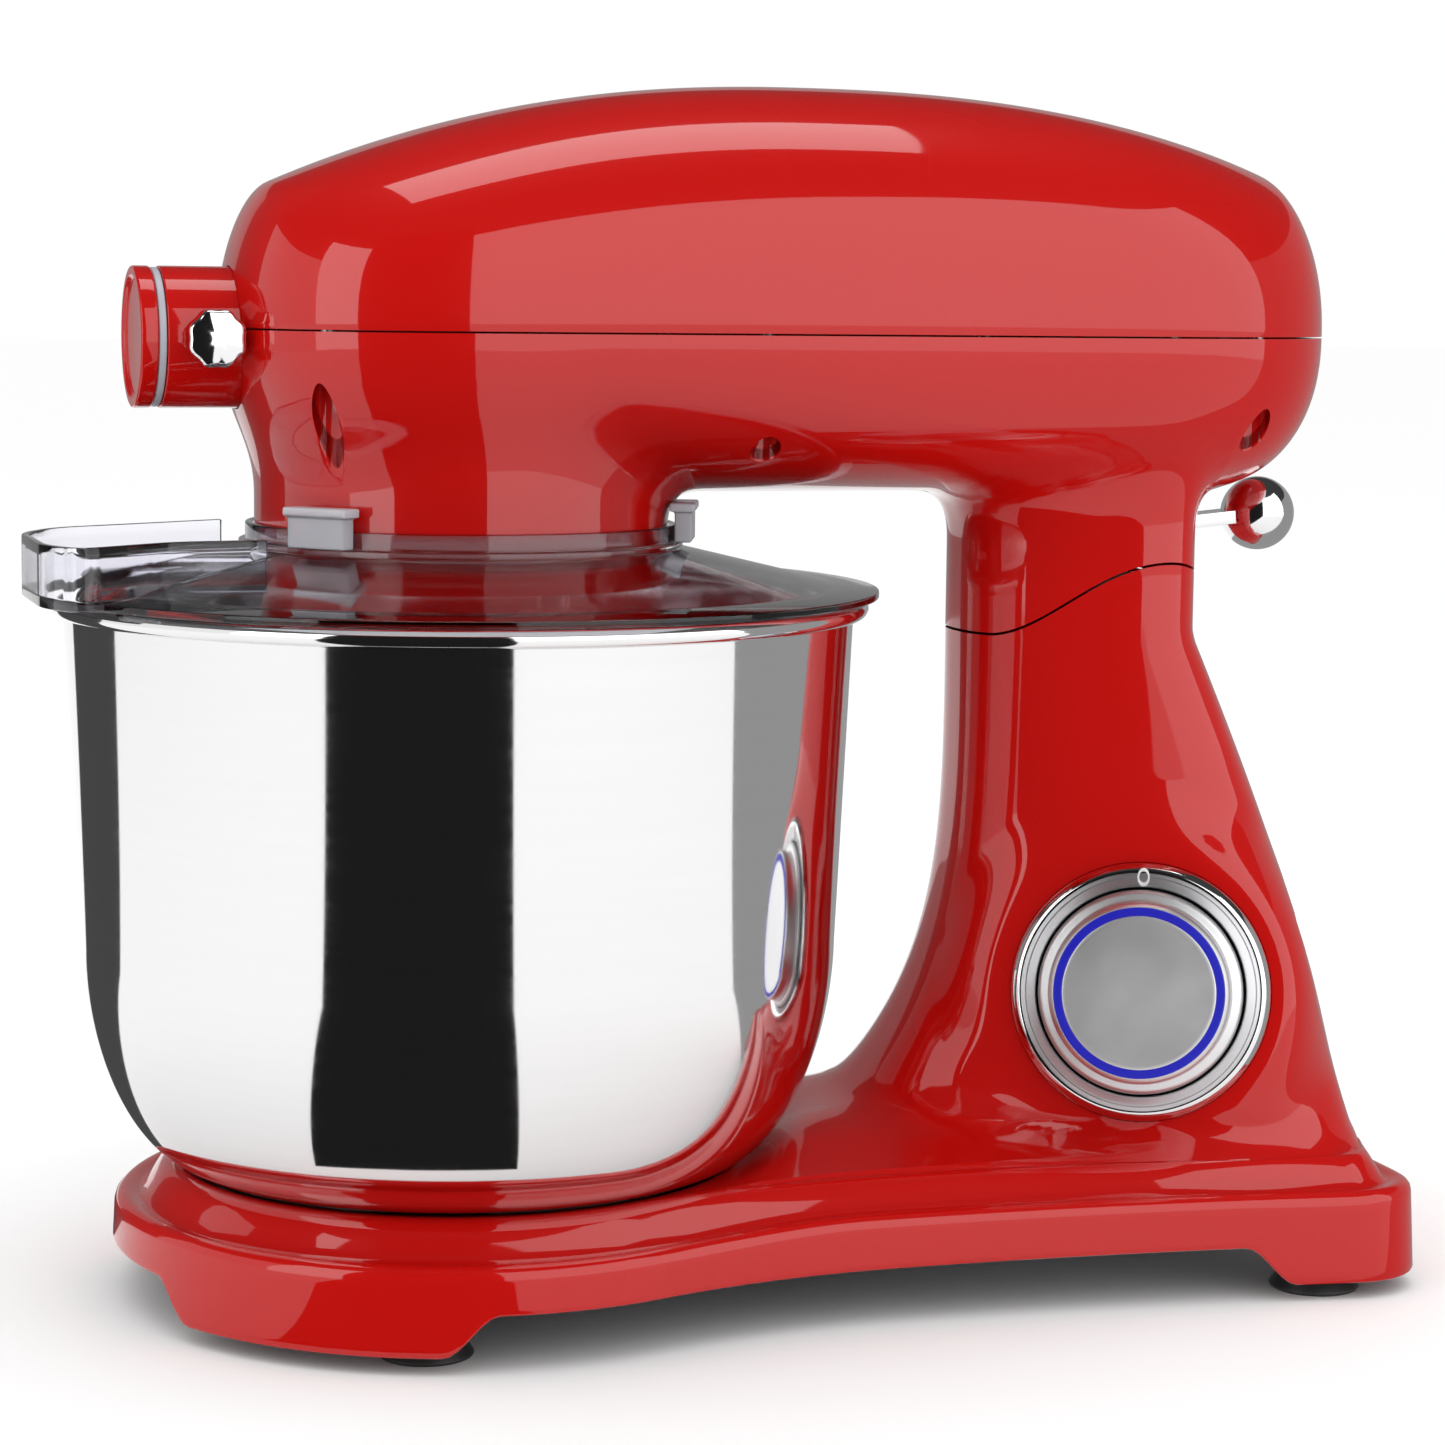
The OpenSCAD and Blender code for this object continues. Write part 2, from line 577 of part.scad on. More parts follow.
module gearbox_frame() {
    color("#9a9da1") at_bowl() difference() {
        union() {
            translate([frame_front, -frame_half, frame_z]) cube([frame_wide_to - frame_front, 2 * frame_half, frame_t]);
            translate([frame_wide_to - 1, -frame_narrow, frame_z])
                cube([pivot_x + 14 - frame_wide_to, 2 * frame_narrow, frame_t]);
            translate([0, 0, ring_top]) cylinder(r = housing_r - wall - pass_gap, h = 3, $fn = round_fn);
            translate([0, 0, ring_top]) cylinder(r = bearing_r + 5, h = frame_z + frame_t - ring_top, $fn = round_fn);
            for (p = frame_posts, s = [-1, 1]) translate([p[0], s * p[1], frame_z]) cylinder(r = 4, h = lid_z - frame_z, $fn = 32);
        }
        translate([0, 0, ring_top - 1]) cylinder(r = bearing_r, h = 60, $fn = round_fn);
        translate([lay_x, 0, frame_z + frame_t - 3]) cylinder(r = lay_r + 2.5, h = 9, $fn = round_fn);
    }
}
module gearbox_lid() {
    color("#8a8d91") at_bowl() difference() {
        translate([frame_front, -frame_half, lid_z]) cube([lay_x + 46 - frame_front, 2 * frame_half, lid_t]);
        translate([0, 0, lid_z - 1]) cylinder(r = shaft_r + run_fit, h = 9, $fn = round_fn);
        translate([lay_x, 0, lid_z - 1]) cylinder(r = lay_r + run_fit, h = 9, $fn = round_fn);
    }
}
module shaft_bearings() {
    color("#c9a24a") at_bowl() {
        for (z = [ring_top, frame_z + frame_t - 7]) translate([0, 0, z]) tube(bearing_r, shaft_r + run_fit, 7);
        translate([lay_x, 0, frame_z + frame_t - 3]) tube(lay_r + 2.5, lay_r + run_fit, 3);
    }
}
module ring_gear() {
    color("#a8aaad") at_bowl() translate([0, 0, planet_z - 1]) difference() {
        cylinder(r = housing_r - wall - pass_gap, h = planet_h + 2, $fn = round_fn);
        translate([0, 0, -1]) linear_extrude(planet_h + 4)
            polygon(teeth(ring_teeth, ring_m, 0.42, 0.27, 1.1, 0.7));
    }
}
module layshaft() {
    color("#b9bcc0") at_bowl() translate([lay_x, 0, frame_z + frame_t - 2.6])
        cylinder(r = lay_r, h = belt_z + pulley_h + 1 - frame_z - frame_t + 2.6, $fn = round_fn);
}
module large_pulley() {
    color("#303234") at_bowl() translate([lay_x, 0, belt_z]) difference() {
        rotate_extrude($fn = round_fn) polygon([[lay_r, 0], [pulley_r + 2, 0], [pulley_r + 2, 0.8], [pulley_r, 0.8],
            [pulley_r, pulley_h - 0.8], [pulley_r + 2, pulley_h - 0.8], [pulley_r + 2, pulley_h], [lay_r, pulley_h]]);
        for (a = [0 : 60 : 300]) rotate(a) translate([pulley_r * 0.58, 0, -1]) cylinder(r = pulley_r * 0.19, h = pulley_h + 2, $fn = 32);
    }
}
module layshaft_pinion() {
    color("#8f9296") at_bowl() translate([lay_x, 0, gear_z]) rotate(180 / pinion_teeth)
        spur(pinion_teeth, gear_m, gear_h, lay_r);
}
belt_ratio = 4;
belt_t = 2;
small_pulley_r = pulley_r / belt_ratio;
module belt_loop(grow) {
    hull() {
        translate([lay_x, 0]) circle(r = pulley_r + grow, $fn = 72);
        translate([motor_x, 0]) circle(r = small_pulley_r + grow, $fn = 72);
    }
}
module drive_belt() {
    color("#202020") at_bowl() translate([0, 0, belt_z + 1.2]) linear_extrude(pulley_h - 2.4) difference() {
        belt_loop(0.3 + belt_t);
        belt_loop(0.3);
    }
}

// ---------- motor ----------
stator_z = motor_z + 10;
stator_h = 31;
bore_r = 24;
top_bracket_z = stator_z + stator_h + 11;
rotor_r = 4;
bolt_at = bore_r + 7;
module at_bolts() { for (s = [-1, 1]) translate([motor_x + s * bolt_at, 0, 0]) children(); }
module motor_stator() {
    color("#a9743a") at_bowl() difference() {
        translate([motor_x, 0, stator_z]) tube(stator_r, bore_r, stator_h);
        at_bolts() translate([0, 0, stator_z - 1]) cylinder(r = 2.2, h = stator_h + 2, $fn = 32);
    }
}
module motor_brackets() {
    color("#8a8d91") at_bowl() difference() {
        union() {
            translate([motor_x, 0, motor_z]) cylinder(r = stator_r, h = 3, $fn = round_fn);
            translate([motor_x - 8, -(head_w / 2 - wall - 2), motor_z]) cube([16, head_w - 2 * wall - 4, 3]);
            translate([motor_x - bolt_at - 5, -9, top_bracket_z]) cube([2 * bolt_at + 10, 18, 3]);
        }
        translate([motor_x, 0, motor_z - 1]) cylinder(r = rotor_r + run_fit, h = 90, $fn = round_fn);
        at_bolts() translate([0, 0, motor_z - 1]) cylinder(r = 2, h = 90, $fn = 32);
    }
}
module motor_bolts() {
    color("#b9bcc0") at_bowl() at_bolts() {
        translate([0, 0, motor_z]) cylinder(r = 2, h = top_bracket_z + 3 - motor_z, $fn = 32);
        translate([0, 0, motor_z + 3]) tube(3.4, 2, stator_z - motor_z - 3);
    }
}
module carbon_brushes() {
    color("#26282a") at_bowl() translate([motor_x, 0, 0]) both_sides()
        translate([-3, 11.5, top_bracket_z - 9]) cube([6, 10, 7]);
}
module rotor_shaft() {
    color("#c4c6c8") at_bowl() translate([motor_x, 0, belt_z - 1])
        cylinder(r = rotor_r, h = top_bracket_z + 4 - belt_z, $fn = round_fn);
}
module armature() {
    color("#b5622c") at_bowl() translate([motor_x, 0, stator_z + 2]) difference() {
        tube(bore_r - 1, rotor_r, stator_h - 4);
        for (a = [0 : 30 : 330]) rotate(a) translate([bore_r - 4, -0.8, -1]) cube([6, 1.6, stator_h]);
    }
}
module commutator() {
    color("#b87333") at_bowl() translate([motor_x, 0, stator_z + stator_h]) tube(11, rotor_r, 10);
}
module cooling_fan() {
    color("#3a3c3e") at_bowl() translate([motor_x, 0, motor_z + 4]) {
        tube(9, rotor_r, 5);
        tube(bore_r + 2, rotor_r, 1);
        for (a = [0 : 30 : 330]) rotate(a) translate([8, -0.6, 0.5]) cube([bore_r - 6.4, 1.2, 4.5]);
    }
}
module motor_pulley() {
    color("#8f9296") at_bowl() translate([motor_x, 0, belt_z]) tube(small_pulley_r, rotor_r, pulley_h);
}

// ---------- planetary drive and beater ----------
module central_shaft() {
    color("#b9bcc0") at_bowl() translate([0, 0, carrier_z])
        cylinder(r = shaft_r, h = lid_z + lid_t - carrier_z, $fn = round_fn);
}
module drive_gear() {
    color("#d8cfae") at_bowl() translate([0, 0, gear_z]) spur(gear_teeth, gear_m, gear_h, shaft_r);
}
carrier_r = housing_r - wall - 3.5;
module planet_carrier() {
    color("#c2c4c6") at_bowl() difference() {
        union() {
            translate([0, 0, carrier_z]) cylinder(r = carrier_r, h = 6, $fn = round_fn);
            translate([0, 0, carrier_z]) cylinder(r = min(11, shaft_r + 5), h = ring_top - carrier_z - 0.6, $fn = round_fn);
            translate([orbit_r, 0, carrier_z - 5]) cylinder(r = beater_r + 4, h = 11, $fn = round_fn);
        }
        translate([0, 0, carrier_z - 1]) cylinder(r = shaft_r, h = 60, $fn = round_fn);
        translate([orbit_r, 0, carrier_z - 9]) cylinder(r = beater_r + run_fit, h = 60, $fn = round_fn);
    }
}
beater_r = shaft_r - 1;
beater_top = carrier_z - 8;
module beater_shaft() {
    color("#c9cbcd") at_bowl() translate([orbit_r, 0, beater_top - 20])
        cylinder(r = beater_r, h = planet_z + planet_h - beater_top + 20, $fn = round_fn);
}
module planet_pinion() {
    color("#a8aaad") at_bowl() translate([orbit_r, 0, planet_z]) spur(planet_teeth, ring_m, planet_h, beater_r);
}
module beater_pin() {
    color("#8f9296") at_bowl() along_y(orbit_r, beater_top - 12) difference() {
        cylinder(r = 1.6, h = 2 * beater_r + 10, center = true, $fn = 32);
        rotate([90, 0, 0]) cylinder(r = beater_r, h = 20, center = true, $fn = round_fn);
    }
}
beater_low = bowl_z + bowl_wall + 10;
beater_half = rim_r - 49;
beater_t = 8;
blade_rows = [[0, 0.34], [0.06, 0.56], [0.17, 0.78], [0.33, 0.95], [0.55, 1], [0.8, 0.9], [0.93, 0.62], [1, 0.2]];
module blade_outline(inset) {
    h = beater_top - 22 - beater_low;
    offset(delta = -inset) polygon(concat(
        [for (row = blade_rows) [beater_half * row[1], beater_low + h * row[0]]],
        [for (i = [len(blade_rows) - 1 : -1 : 0]) [-beater_half * blade_rows[i][1], beater_low + h * blade_rows[i][0]]]));
}
module flat_beater() {
    color("#d9dadb") at_bowl() translate([orbit_r, 0, 0]) difference() {
        union() {
            rotate([90, 0, 90]) linear_extrude(beater_t, center = true) {
                difference() {
                    blade_outline(0);
                    blade_outline(9);
                }
                intersection() {
                    blade_outline(1);
                    union() {
                        translate([-4, beater_low]) square([8, 200]);
                        for (f = [0.28, 0.52, 0.74]) translate([-beater_half, beater_low + f * (beater_top - 22 - beater_low)])
                            square([2 * beater_half, 7]);
                    }
                }
            }
            translate([0, 0, beater_top - 30]) cylinder(r = beater_r + 5, h = 26, $fn = round_fn);
        }
        translate([0, 0, beater_top - 20]) cylinder(r = beater_r + run_fit, h = 60, $fn = round_fn);
        along_y(0, beater_top - 12) cylinder(r = 1.8, h = 60, center = true, $fn = 32);
    }
}

// ---------- splash guard ----------
guard_z = rim_z + rim_roll_r + 0.6;
guard_t = 2.2;
collar_r = housing_r + 0.6;
collar_top = rim_z + 24;
chute_top = rim_z + 21;
// Plan of the pouring chute, seen from above
function chute_plan(d) = [[-(collar_r + 2), -(30 - d)], [-(guard_r - 33), -(34 - d)], [-(guard_r - 3 - d), -(58 - 1.6 * d)],
    [-(chute_reach - d), -(40 - d)], [-(chute_reach - d), 12 - d], [-(guard_r - 7 - d), 34 - d],
    [-(collar_r - 1), 68 - 2 * d]];
module splash_guard() {
    color("#b9bde0", 0.45) at_bowl() {
        difference() {
            union() {
                rotate_extrude($fn = round_fn) polygon([[guard_r, guard_z], [guard_r, guard_z + guard_t],
                    [guard_r - 13, guard_z + guard_t + 1], [collar_r + 4, collar_top - 7], [collar_r + 4, collar_top - 5],
                    [collar_r + 2, collar_top - 5], [collar_r + 2, collar_top], [collar_r, collar_top],
                    [collar_r, collar_top - 9], [guard_r - 14, guard_z + 0.4], [guard_r - 12, guard_z]]);
                translate([0, 0, guard_z]) linear_extrude(chute_top - guard_z) polygon(chute_plan(0));
            }
            translate([0, 0, guard_z - 1]) linear_extrude(60) intersection() {
                polygon(chute_plan(guard_t));
                difference() {
                    circle(r = 2 * guard_r, $fn = round_fn);
                    circle(r = collar_r + 6, $fn = round_fn);
                }
            }
            translate([0, 0, guard_z - 1]) cylinder(r = collar_r, h = 60, $fn = round_fn);
        }
    }
}
clip_turns = [100, 220, 340];
module guard_clips() {
    color("#dfe0ea") at_bowl() for (a = clip_turns) rotate(a)
        translate([collar_r + 2.2, -10, collar_top - 4.8]) {
            cube([5, 20, 9]);
            translate([-1.5, -1, 9]) cube([7.5, 22, 2.5]);
        }
}

// ---------- attachment hub ----------
barrel_front = head_front - 18.5;
hub_bore = hub_r - 3.2;
clamp_x = head_front - 6;
module hub_barrel() {
    color("#b50c0c") at_bowl() difference() {
        translate([barrel_front, 0, hub_z]) rotate([0, 90, 0]) tube(hub_r, hub_bore, head_front + 12 - barrel_front);
        translate([clamp_x, 0, hub_z]) rotate([90, 0, 0]) cylinder(r = 3 + run_fit, h = 60, $fn = round_fn);
    }
}
module hub_seal() {
    color("#9b9ba6") at_bowl() translate([barrel_front - 2.4, 0, hub_z]) rotate([0, 90, 0]) tube(hub_r - 0.4, hub_bore - 2, 2.2);
}
module hub_cap() {
    color("#b80d0d") at_bowl() translate([barrel_front - 7.5, 0, hub_z]) rotate([0, 90, 0]) {
        cylinder(r = hub_r, h = 5, $fn = round_fn);
        cylinder(r = hub_bore - 2.1, h = 14, $fn = round_fn);
    }
}
clamp_out = hub_r + 2.6;
module hub_clamp_knob() {
    color("#d0d2d4") at_bowl() translate([clamp_x, -clamp_out, hub_z]) rotate([90, 0, 0]) {
        difference() {
            cylinder(r = clamp_knob_r, h = 8, $fn = round_fn);
            for (a = [0 : 45 : 315]) rotate(a + 22.5) translate([clamp_knob_r + 1.6, 0, -1]) cylinder(r = 2.4, h = 7, $fn = 32);
        }
        translate([0, 0, -clamp_out + hub_bore + 0.4]) cylinder(r = 3, h = clamp_out - hub_bore, $fn = round_fn);
    }
}

// ---------- release lever ----------
lever_pin_r = 2;
lever_rise = -5.4;      // the bar climbs a little towards its ball
ball_x = 41;
module on_lever() { translate([lever_x, 0, lever_z]) rotate([0, lever_rise, 0]) children(); }
module lever_mount() {
    color("#7d8084") at_bowl() {
        both_sides() difference() {
            translate([lever_x - 5, 7.2, lever_z - 5]) cube([10, 3, frame_z - lever_z + 5]);
            along_y(lever_x, lever_z) cylinder(r = lever_pin_r + run_fit, h = 60, center = true, $fn = round_fn);
        }
        translate([lever_x - 5 - 8, -10.2, frame_z - 2]) cube([18, 20.4, 2]);
    }
}
module lever_spring() {
    color("#9a9da1") at_bowl() translate([0, -14.6, 0]) along_y(lever_x, lever_z) tube(4.4, 3.2, 4);
}
module release_lever() {
    color("#cfd1d3") at_bowl() {
        on_lever() difference() {
            union() {
                translate([-8, -5.6, -2]) cube([ball_x - 2, 11.2, 4]);
                translate([-8, -3.6, -6]) cube([4, 7.2, 5]);
                rotate([90, 0, 0]) cylinder(r = 4.6, h = 11.2, center = true, $fn = round_fn);
            }
            rotate([90, 0, 0]) cylinder(r = lever_pin_r, h = 30, center = true, $fn = round_fn);
        }
        along_y(lever_x, lever_z) cylinder(r = lever_pin_r, h = 22, center = true, $fn = round_fn);
    }
}
module lever_ball() {
    color("#d7d9db") at_bowl() on_lever() difference() {
        translate([ball_x, 0, 0]) sphere(r = ball_r, $fn = round_fn);
        translate([-8, -5.6, -2]) cube([ball_x - 2, 11.2, 4]);
    }
}

stand_housing();
base_plate();
suction_feet();
base_screws();
bowl_seat();
hinge_bracket();
hinge_pin();
latch_keeper();
dial_bezel();
speed_switch();
control_board();
cord_grommet();
head_top_cover();
head_lower_shell();
head_screws();
gearbox_frame();
gearbox_lid();
shaft_bearings();
hinge_arm();
ring_gear();
motor_stator();
motor_brackets();
motor_bolts();
carbon_brushes();
drive_belt();
hub_barrel();
lever_mount();
lever_spring();
splash_guard();
guard_clips();
rotor_shaft();
armature();
commutator();
cooling_fan();
motor_pulley();
layshaft();
large_pulley();
layshaft_pinion();
central_shaft();
drive_gear();
planet_carrier();
beater_shaft();
planet_pinion();
beater_pin();
flat_beater();
mixing_bowl();
bowl_foot();
speed_knob();
knob_light_ring();
knob_cap();
release_lever();
lever_ball();
hub_cap();
hub_seal();
hub_clamp_knob();
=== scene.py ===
# Tilt-head stand mixer: painted housings, steel bowl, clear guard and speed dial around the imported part.
import math
import bpy
import numpy as np
from mathutils import Matrix, Vector


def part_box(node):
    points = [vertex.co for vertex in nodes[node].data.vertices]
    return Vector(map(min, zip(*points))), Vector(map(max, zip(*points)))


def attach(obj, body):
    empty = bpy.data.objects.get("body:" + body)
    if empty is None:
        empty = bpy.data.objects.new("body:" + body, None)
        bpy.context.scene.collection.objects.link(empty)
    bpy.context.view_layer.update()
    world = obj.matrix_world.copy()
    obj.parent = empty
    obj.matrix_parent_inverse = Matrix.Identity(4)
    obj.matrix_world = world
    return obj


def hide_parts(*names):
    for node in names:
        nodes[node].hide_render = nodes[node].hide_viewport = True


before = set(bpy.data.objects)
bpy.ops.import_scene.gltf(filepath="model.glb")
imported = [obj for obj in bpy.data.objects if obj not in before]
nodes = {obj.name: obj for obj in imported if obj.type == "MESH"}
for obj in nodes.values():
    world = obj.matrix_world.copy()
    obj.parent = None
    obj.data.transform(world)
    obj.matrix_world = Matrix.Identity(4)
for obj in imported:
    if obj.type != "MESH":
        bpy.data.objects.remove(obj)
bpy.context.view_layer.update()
print("frame loaded")

mm = 0.001
bowlLow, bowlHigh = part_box("mixing_bowl")
bowlX = (bowlLow.x + bowlHigh.x) / 2 / mm  # the bowl's axis along X, in mm; sizes below are from this axis


def deselect():
    if bpy.context.object and bpy.context.object.mode != "OBJECT":
        bpy.ops.object.mode_set(mode="OBJECT")
    bpy.ops.object.select_all(action="DESELECT")


def pick(obj):  # makes obj the only selected and active object
    deselect()
    obj.select_set(True)
    bpy.context.view_layer.objects.active = obj
    return obj


def applied(obj, kind, **values):  # adds a modifier and applies it
    pick(obj)
    mod = obj.modifiers.new(kind.lower(), kind)
    for key, value in values.items():
        setattr(mod, key, value)
    bpy.ops.object.modifier_apply(modifier=mod.name)
    return obj


def tidied(obj, turnOut=True):  # merges doubles, drops loose ends and turns the faces outwards
    pick(obj)
    bpy.ops.object.mode_set(mode="EDIT")
    bpy.ops.mesh.select_all(action="SELECT")
    bpy.ops.mesh.remove_doubles(threshold=2e-6)
    bpy.ops.mesh.delete_loose(use_verts=True, use_edges=True, use_faces=False)
    bpy.ops.mesh.select_all(action="SELECT")
    if turnOut:
        bpy.ops.mesh.normals_make_consistent(inside=False)
    bpy.ops.object.mode_set(mode="OBJECT")
    return obj


def toRow(points):  # millimetres from the bowl's axis to metres in the model's frame
    return (np.asarray(points, float) + [bowlX, 0, 0]) * mm


def readPoints(obj):
    co = np.zeros(len(obj.data.vertices) * 3)
    obj.data.vertices.foreach_get("co", co)
    return co.reshape(-1, 3) / mm - [bowlX, 0, 0]


def writePoints(obj, points):
    obj.data.vertices.foreach_set("co", toRow(points).ravel())
    obj.data.update()


def pulledGrid(name, points):
    # a flat grid whose rows and columns are pulled to their places
    rows, cols = points.shape[:2]
    deselect()
    bpy.ops.mesh.primitive_grid_add(x_subdivisions=cols - 1, y_subdivisions=rows - 1, size=1)
    obj = bpy.context.object
    obj.name = name
    writePoints(obj, points.reshape(-1, 3))
    return obj


def softened(profile, radius, steps=4):
    # rounds each corner of a closed section
    out = []
    count = len(profile)
    for i in range(count):
        a, b, c = (np.array(profile[(i + k) % count], float) for k in (-1, 0, 1))
        la, lc = np.linalg.norm(a - b), np.linalg.norm(c - b)
        if b[0] < 1e-6 or min(la, lc) < 1e-6:
            out.append(b)
            continue
        reach = min(radius, 0.45 * la, 0.45 * lc)
        p, q = b + (a - b) / la * reach, b + (c - b) / lc * reach
        for k in range(steps + 1):
            t = k / steps
            out.append((1 - t) ** 2 * p + 2 * t * (1 - t) * b + t * t * q)
    return out


def turned(name, section, steps=96, radius=0.4, place=None):
    # a closed section in radius and height, spun round its axis, its corners rounded by radius
    section = softened(section, radius) if radius else [np.array(p, float) for p in section]
    deselect()
    bpy.ops.mesh.primitive_circle_add(vertices=len(section), radius=1, fill_type="NOTHING")
    obj = bpy.context.object
    obj.name = name
    for vertex, p in zip(obj.data.vertices, section):
        vertex.co = (p[0] * mm, 0, p[1] * mm)
    bpy.ops.object.mode_set(mode="EDIT")
    bpy.ops.mesh.select_all(action="SELECT")
    bpy.ops.mesh.spin(steps=steps, angle=2 * math.pi, center=(0, 0, 0), axis=(0, 0, 1))
    bpy.ops.object.mode_set(mode="OBJECT")
    tidied(obj)
    obj.data.transform(place if place is not None else at(0, 0, 0))
    return obj


def at(x, y, z):
    return Matrix.Translation(toRow([x, y, z]))


def joined(first, *others):  # one object out of several
    pick(first)
    for other in others:
        other.select_set(True)
    bpy.ops.object.join()
    return first


def cut(obj, cutter, operation="DIFFERENCE"):
    applied(obj, "BOOLEAN", object=cutter, operation=operation, solver="EXACT")
    bpy.data.objects.remove(cutter)
    return obj


def rod(x, y, z, r, h, place=None, steps=64):  # a round bar standing on x, y, z, or on a place of its own
    deselect()
    bpy.ops.mesh.primitive_cylinder_add(vertices=steps, radius=r * mm, depth=h * mm,
                                        location=(0, 0, h * mm / 2))
    obj = bpy.context.object
    bpy.ops.object.transform_apply(location=True, rotation=True, scale=True)
    obj.data.transform(place if place is not None else at(x, y, z))
    return obj


def block(low, high):  # a box between two corners
    deselect()
    bpy.ops.mesh.primitive_cube_add(size=1)
    obj = bpy.context.object
    low, high = toRow(low), toRow(high)
    obj.data.transform(Matrix.Translation((low + high) / 2) @ Matrix.Diagonal([*(high - low), 1]))
    return obj


def finished(obj, material, body, replaces=(), angle=38):
    # gives a piece its finish, its shading and its place among the moving bodies
    pick(obj)
    obj.data.materials.clear()
    obj.data.materials.append(material)
    bpy.ops.object.shade_smooth_by_angle(angle=math.radians(angle))
    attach(obj, body)
    if replaces:
        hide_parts(*replaces)
    return obj


def smoothStep(t):
    t = np.clip(t, 0, 1)
    return t * t * (3 - 2 * t)


def makeVariation():
    # slow drift of colour and gloss with a fine grain, shared by every finish
    group = bpy.data.node_groups.new("surfaceVariation", "ShaderNodeTree")
    face = group.interface
    face.new_socket("Vector", in_out="INPUT", socket_type="NodeSocketVector")
    for name, value in (("Drift Scale", 12.0), ("Grain Scale", 900.0), ("Gloss Low", 0.1), ("Gloss High", 0.2)):
        socket = face.new_socket(name, in_out="INPUT", socket_type="NodeSocketFloat")
        socket.default_value = value
    for name in ("Colour A", "Colour B"):
        face.new_socket(name, in_out="INPUT", socket_type="NodeSocketColor")
    face.new_socket("Colour", in_out="OUTPUT", socket_type="NodeSocketColor")
    face.new_socket("Roughness", in_out="OUTPUT", socket_type="NodeSocketFloat")
    face.new_socket("Height", in_out="OUTPUT", socket_type="NodeSocketFloat")
    new, link = group.nodes.new, group.links.new
    start, end = new("NodeGroupInput"), new("NodeGroupOutput")
    drift, grain = new("ShaderNodeTexNoise"), new("ShaderNodeTexNoise")
    mix, gloss = new("ShaderNodeMix"), new("ShaderNodeMapRange")
    mix.data_type = "RGBA"
    drift.inputs["Detail"].default_value = 3
    grain.inputs["Detail"].default_value = 2
    for node, scale in ((drift, "Drift Scale"), (grain, "Grain Scale")):
        link(start.outputs["Vector"], node.inputs["Vector"])
        link(start.outputs[scale], node.inputs["Scale"])
    link(drift.outputs["Fac"], mix.inputs[0])
    link(start.outputs["Colour A"], mix.inputs[6])
    link(start.outputs["Colour B"], mix.inputs[7])
    gloss.inputs["From Min"].default_value = 0.3
    gloss.inputs["From Max"].default_value = 0.7
    link(drift.outputs["Fac"], gloss.inputs["Value"])
    link(start.outputs["Gloss Low"], gloss.inputs["To Min"])
    link(start.outputs["Gloss High"], gloss.inputs["To Max"])
    link(mix.outputs[2], end.inputs["Colour"])
    link(gloss.outputs["Result"], end.inputs["Roughness"])
    link(grain.outputs["Fac"], end.inputs["Height"])
    return group


variation = makeVariation()


def finish(name, colour, gloss, metallic=0.0, drift=0.06, driftScale=12, grainScale=900, grain=0.0,
           stretch=(1, 1, 1), **sockets):
    # a material: gloss is its lowest and highest roughness, drift how far its colour wanders
    material = bpy.data.materials.new(name)
    material.use_nodes = True
    tree = material.node_tree
    shader = tree.nodes["Principled BSDF"]
    coords, mapping = tree.nodes.new("ShaderNodeTexCoord"), tree.nodes.new("ShaderNodeMapping")
    mapping.inputs["Scale"].default_value = stretch
    vary = tree.nodes.new("ShaderNodeGroup")
    vary.node_tree = variation
    link = tree.links.new
    link(coords.outputs["Object"], mapping.inputs["Vector"])
    link(mapping.outputs["Vector"], vary.inputs["Vector"])
    vary.inputs["Drift Scale"].default_value = driftScale
    vary.inputs["Grain Scale"].default_value = grainScale
    vary.inputs["Gloss Low"].default_value, vary.inputs["Gloss High"].default_value = gloss
    vary.inputs["Colour A"].default_value = [c * (1 - drift) for c in colour] + [1]
    vary.inputs["Colour B"].default_value = [min(1, c * (1 + drift)) for c in colour] + [1]
    link(vary.outputs["Colour"], shader.inputs["Base Color"])
    link(vary.outputs["Roughness"], shader.inputs["Roughness"])
    if grain:
        bump = tree.nodes.new("ShaderNodeBump")
        bump.inputs["Strength"].default_value = grain
        bump.inputs["Distance"].default_value = 0.0002
        link(vary.outputs["Height"], bump.inputs["Height"])
        link(bump.outputs["Normal"], shader.inputs["Normal"])
    shader.inputs["Metallic"].default_value = metallic
    for key, value in sockets.items():
        shader.inputs[key.replace("_", " ")].default_value = value
    return material


paint = dict(colour=(0.50, 0.0035, 0.0022), gloss=(0.24, 0.30), coatGloss=0.035, wave=0.012)
redPaint = finish("redPaint", paint["colour"], paint["gloss"], drift=0.04, driftScale=6, grainScale=260,
                  grain=paint["wave"], Coat_Weight=1.0, Coat_Roughness=paint["coatGloss"],
                  Specular_IOR_Level=0.04)
bowlSteel = finish("bowlSteel", (0.80, 0.80, 0.80), (0.045, 0.07), 1, 0.02, stretch=(1, 1, 30), grainScale=40,
                   grain=0.01)
chrome = finish("chrome", (0.78, 0.78, 0.79), (0.05, 0.09), 1, 0.02)
knobMetal = finish("knobMetal", (0.72, 0.72, 0.73), (0.36, 0.46), 1, 0.05, driftScale=30, grainScale=1800,
                   grain=0.05)
clearGuard = finish("clearGuard", (0.93, 0.93, 0.99), (0.02, 0.05), 0, 0.02, Transmission_Weight=1.0, IOR=1.46)
milkClip = finish("milkClip", (0.86, 0.87, 0.93), (0.15, 0.25), 0, 0.03, Transmission_Weight=0.45, IOR=1.45)
blackRubber = finish("blackRubber", (0.018, 0.018, 0.019), (0.45, 0.6), 0, 0.2, grain=0.2)
blackPlastic = finish("blackPlastic", (0.02, 0.02, 0.022), (0.3, 0.45), 0, 0.15, grain=0.12)
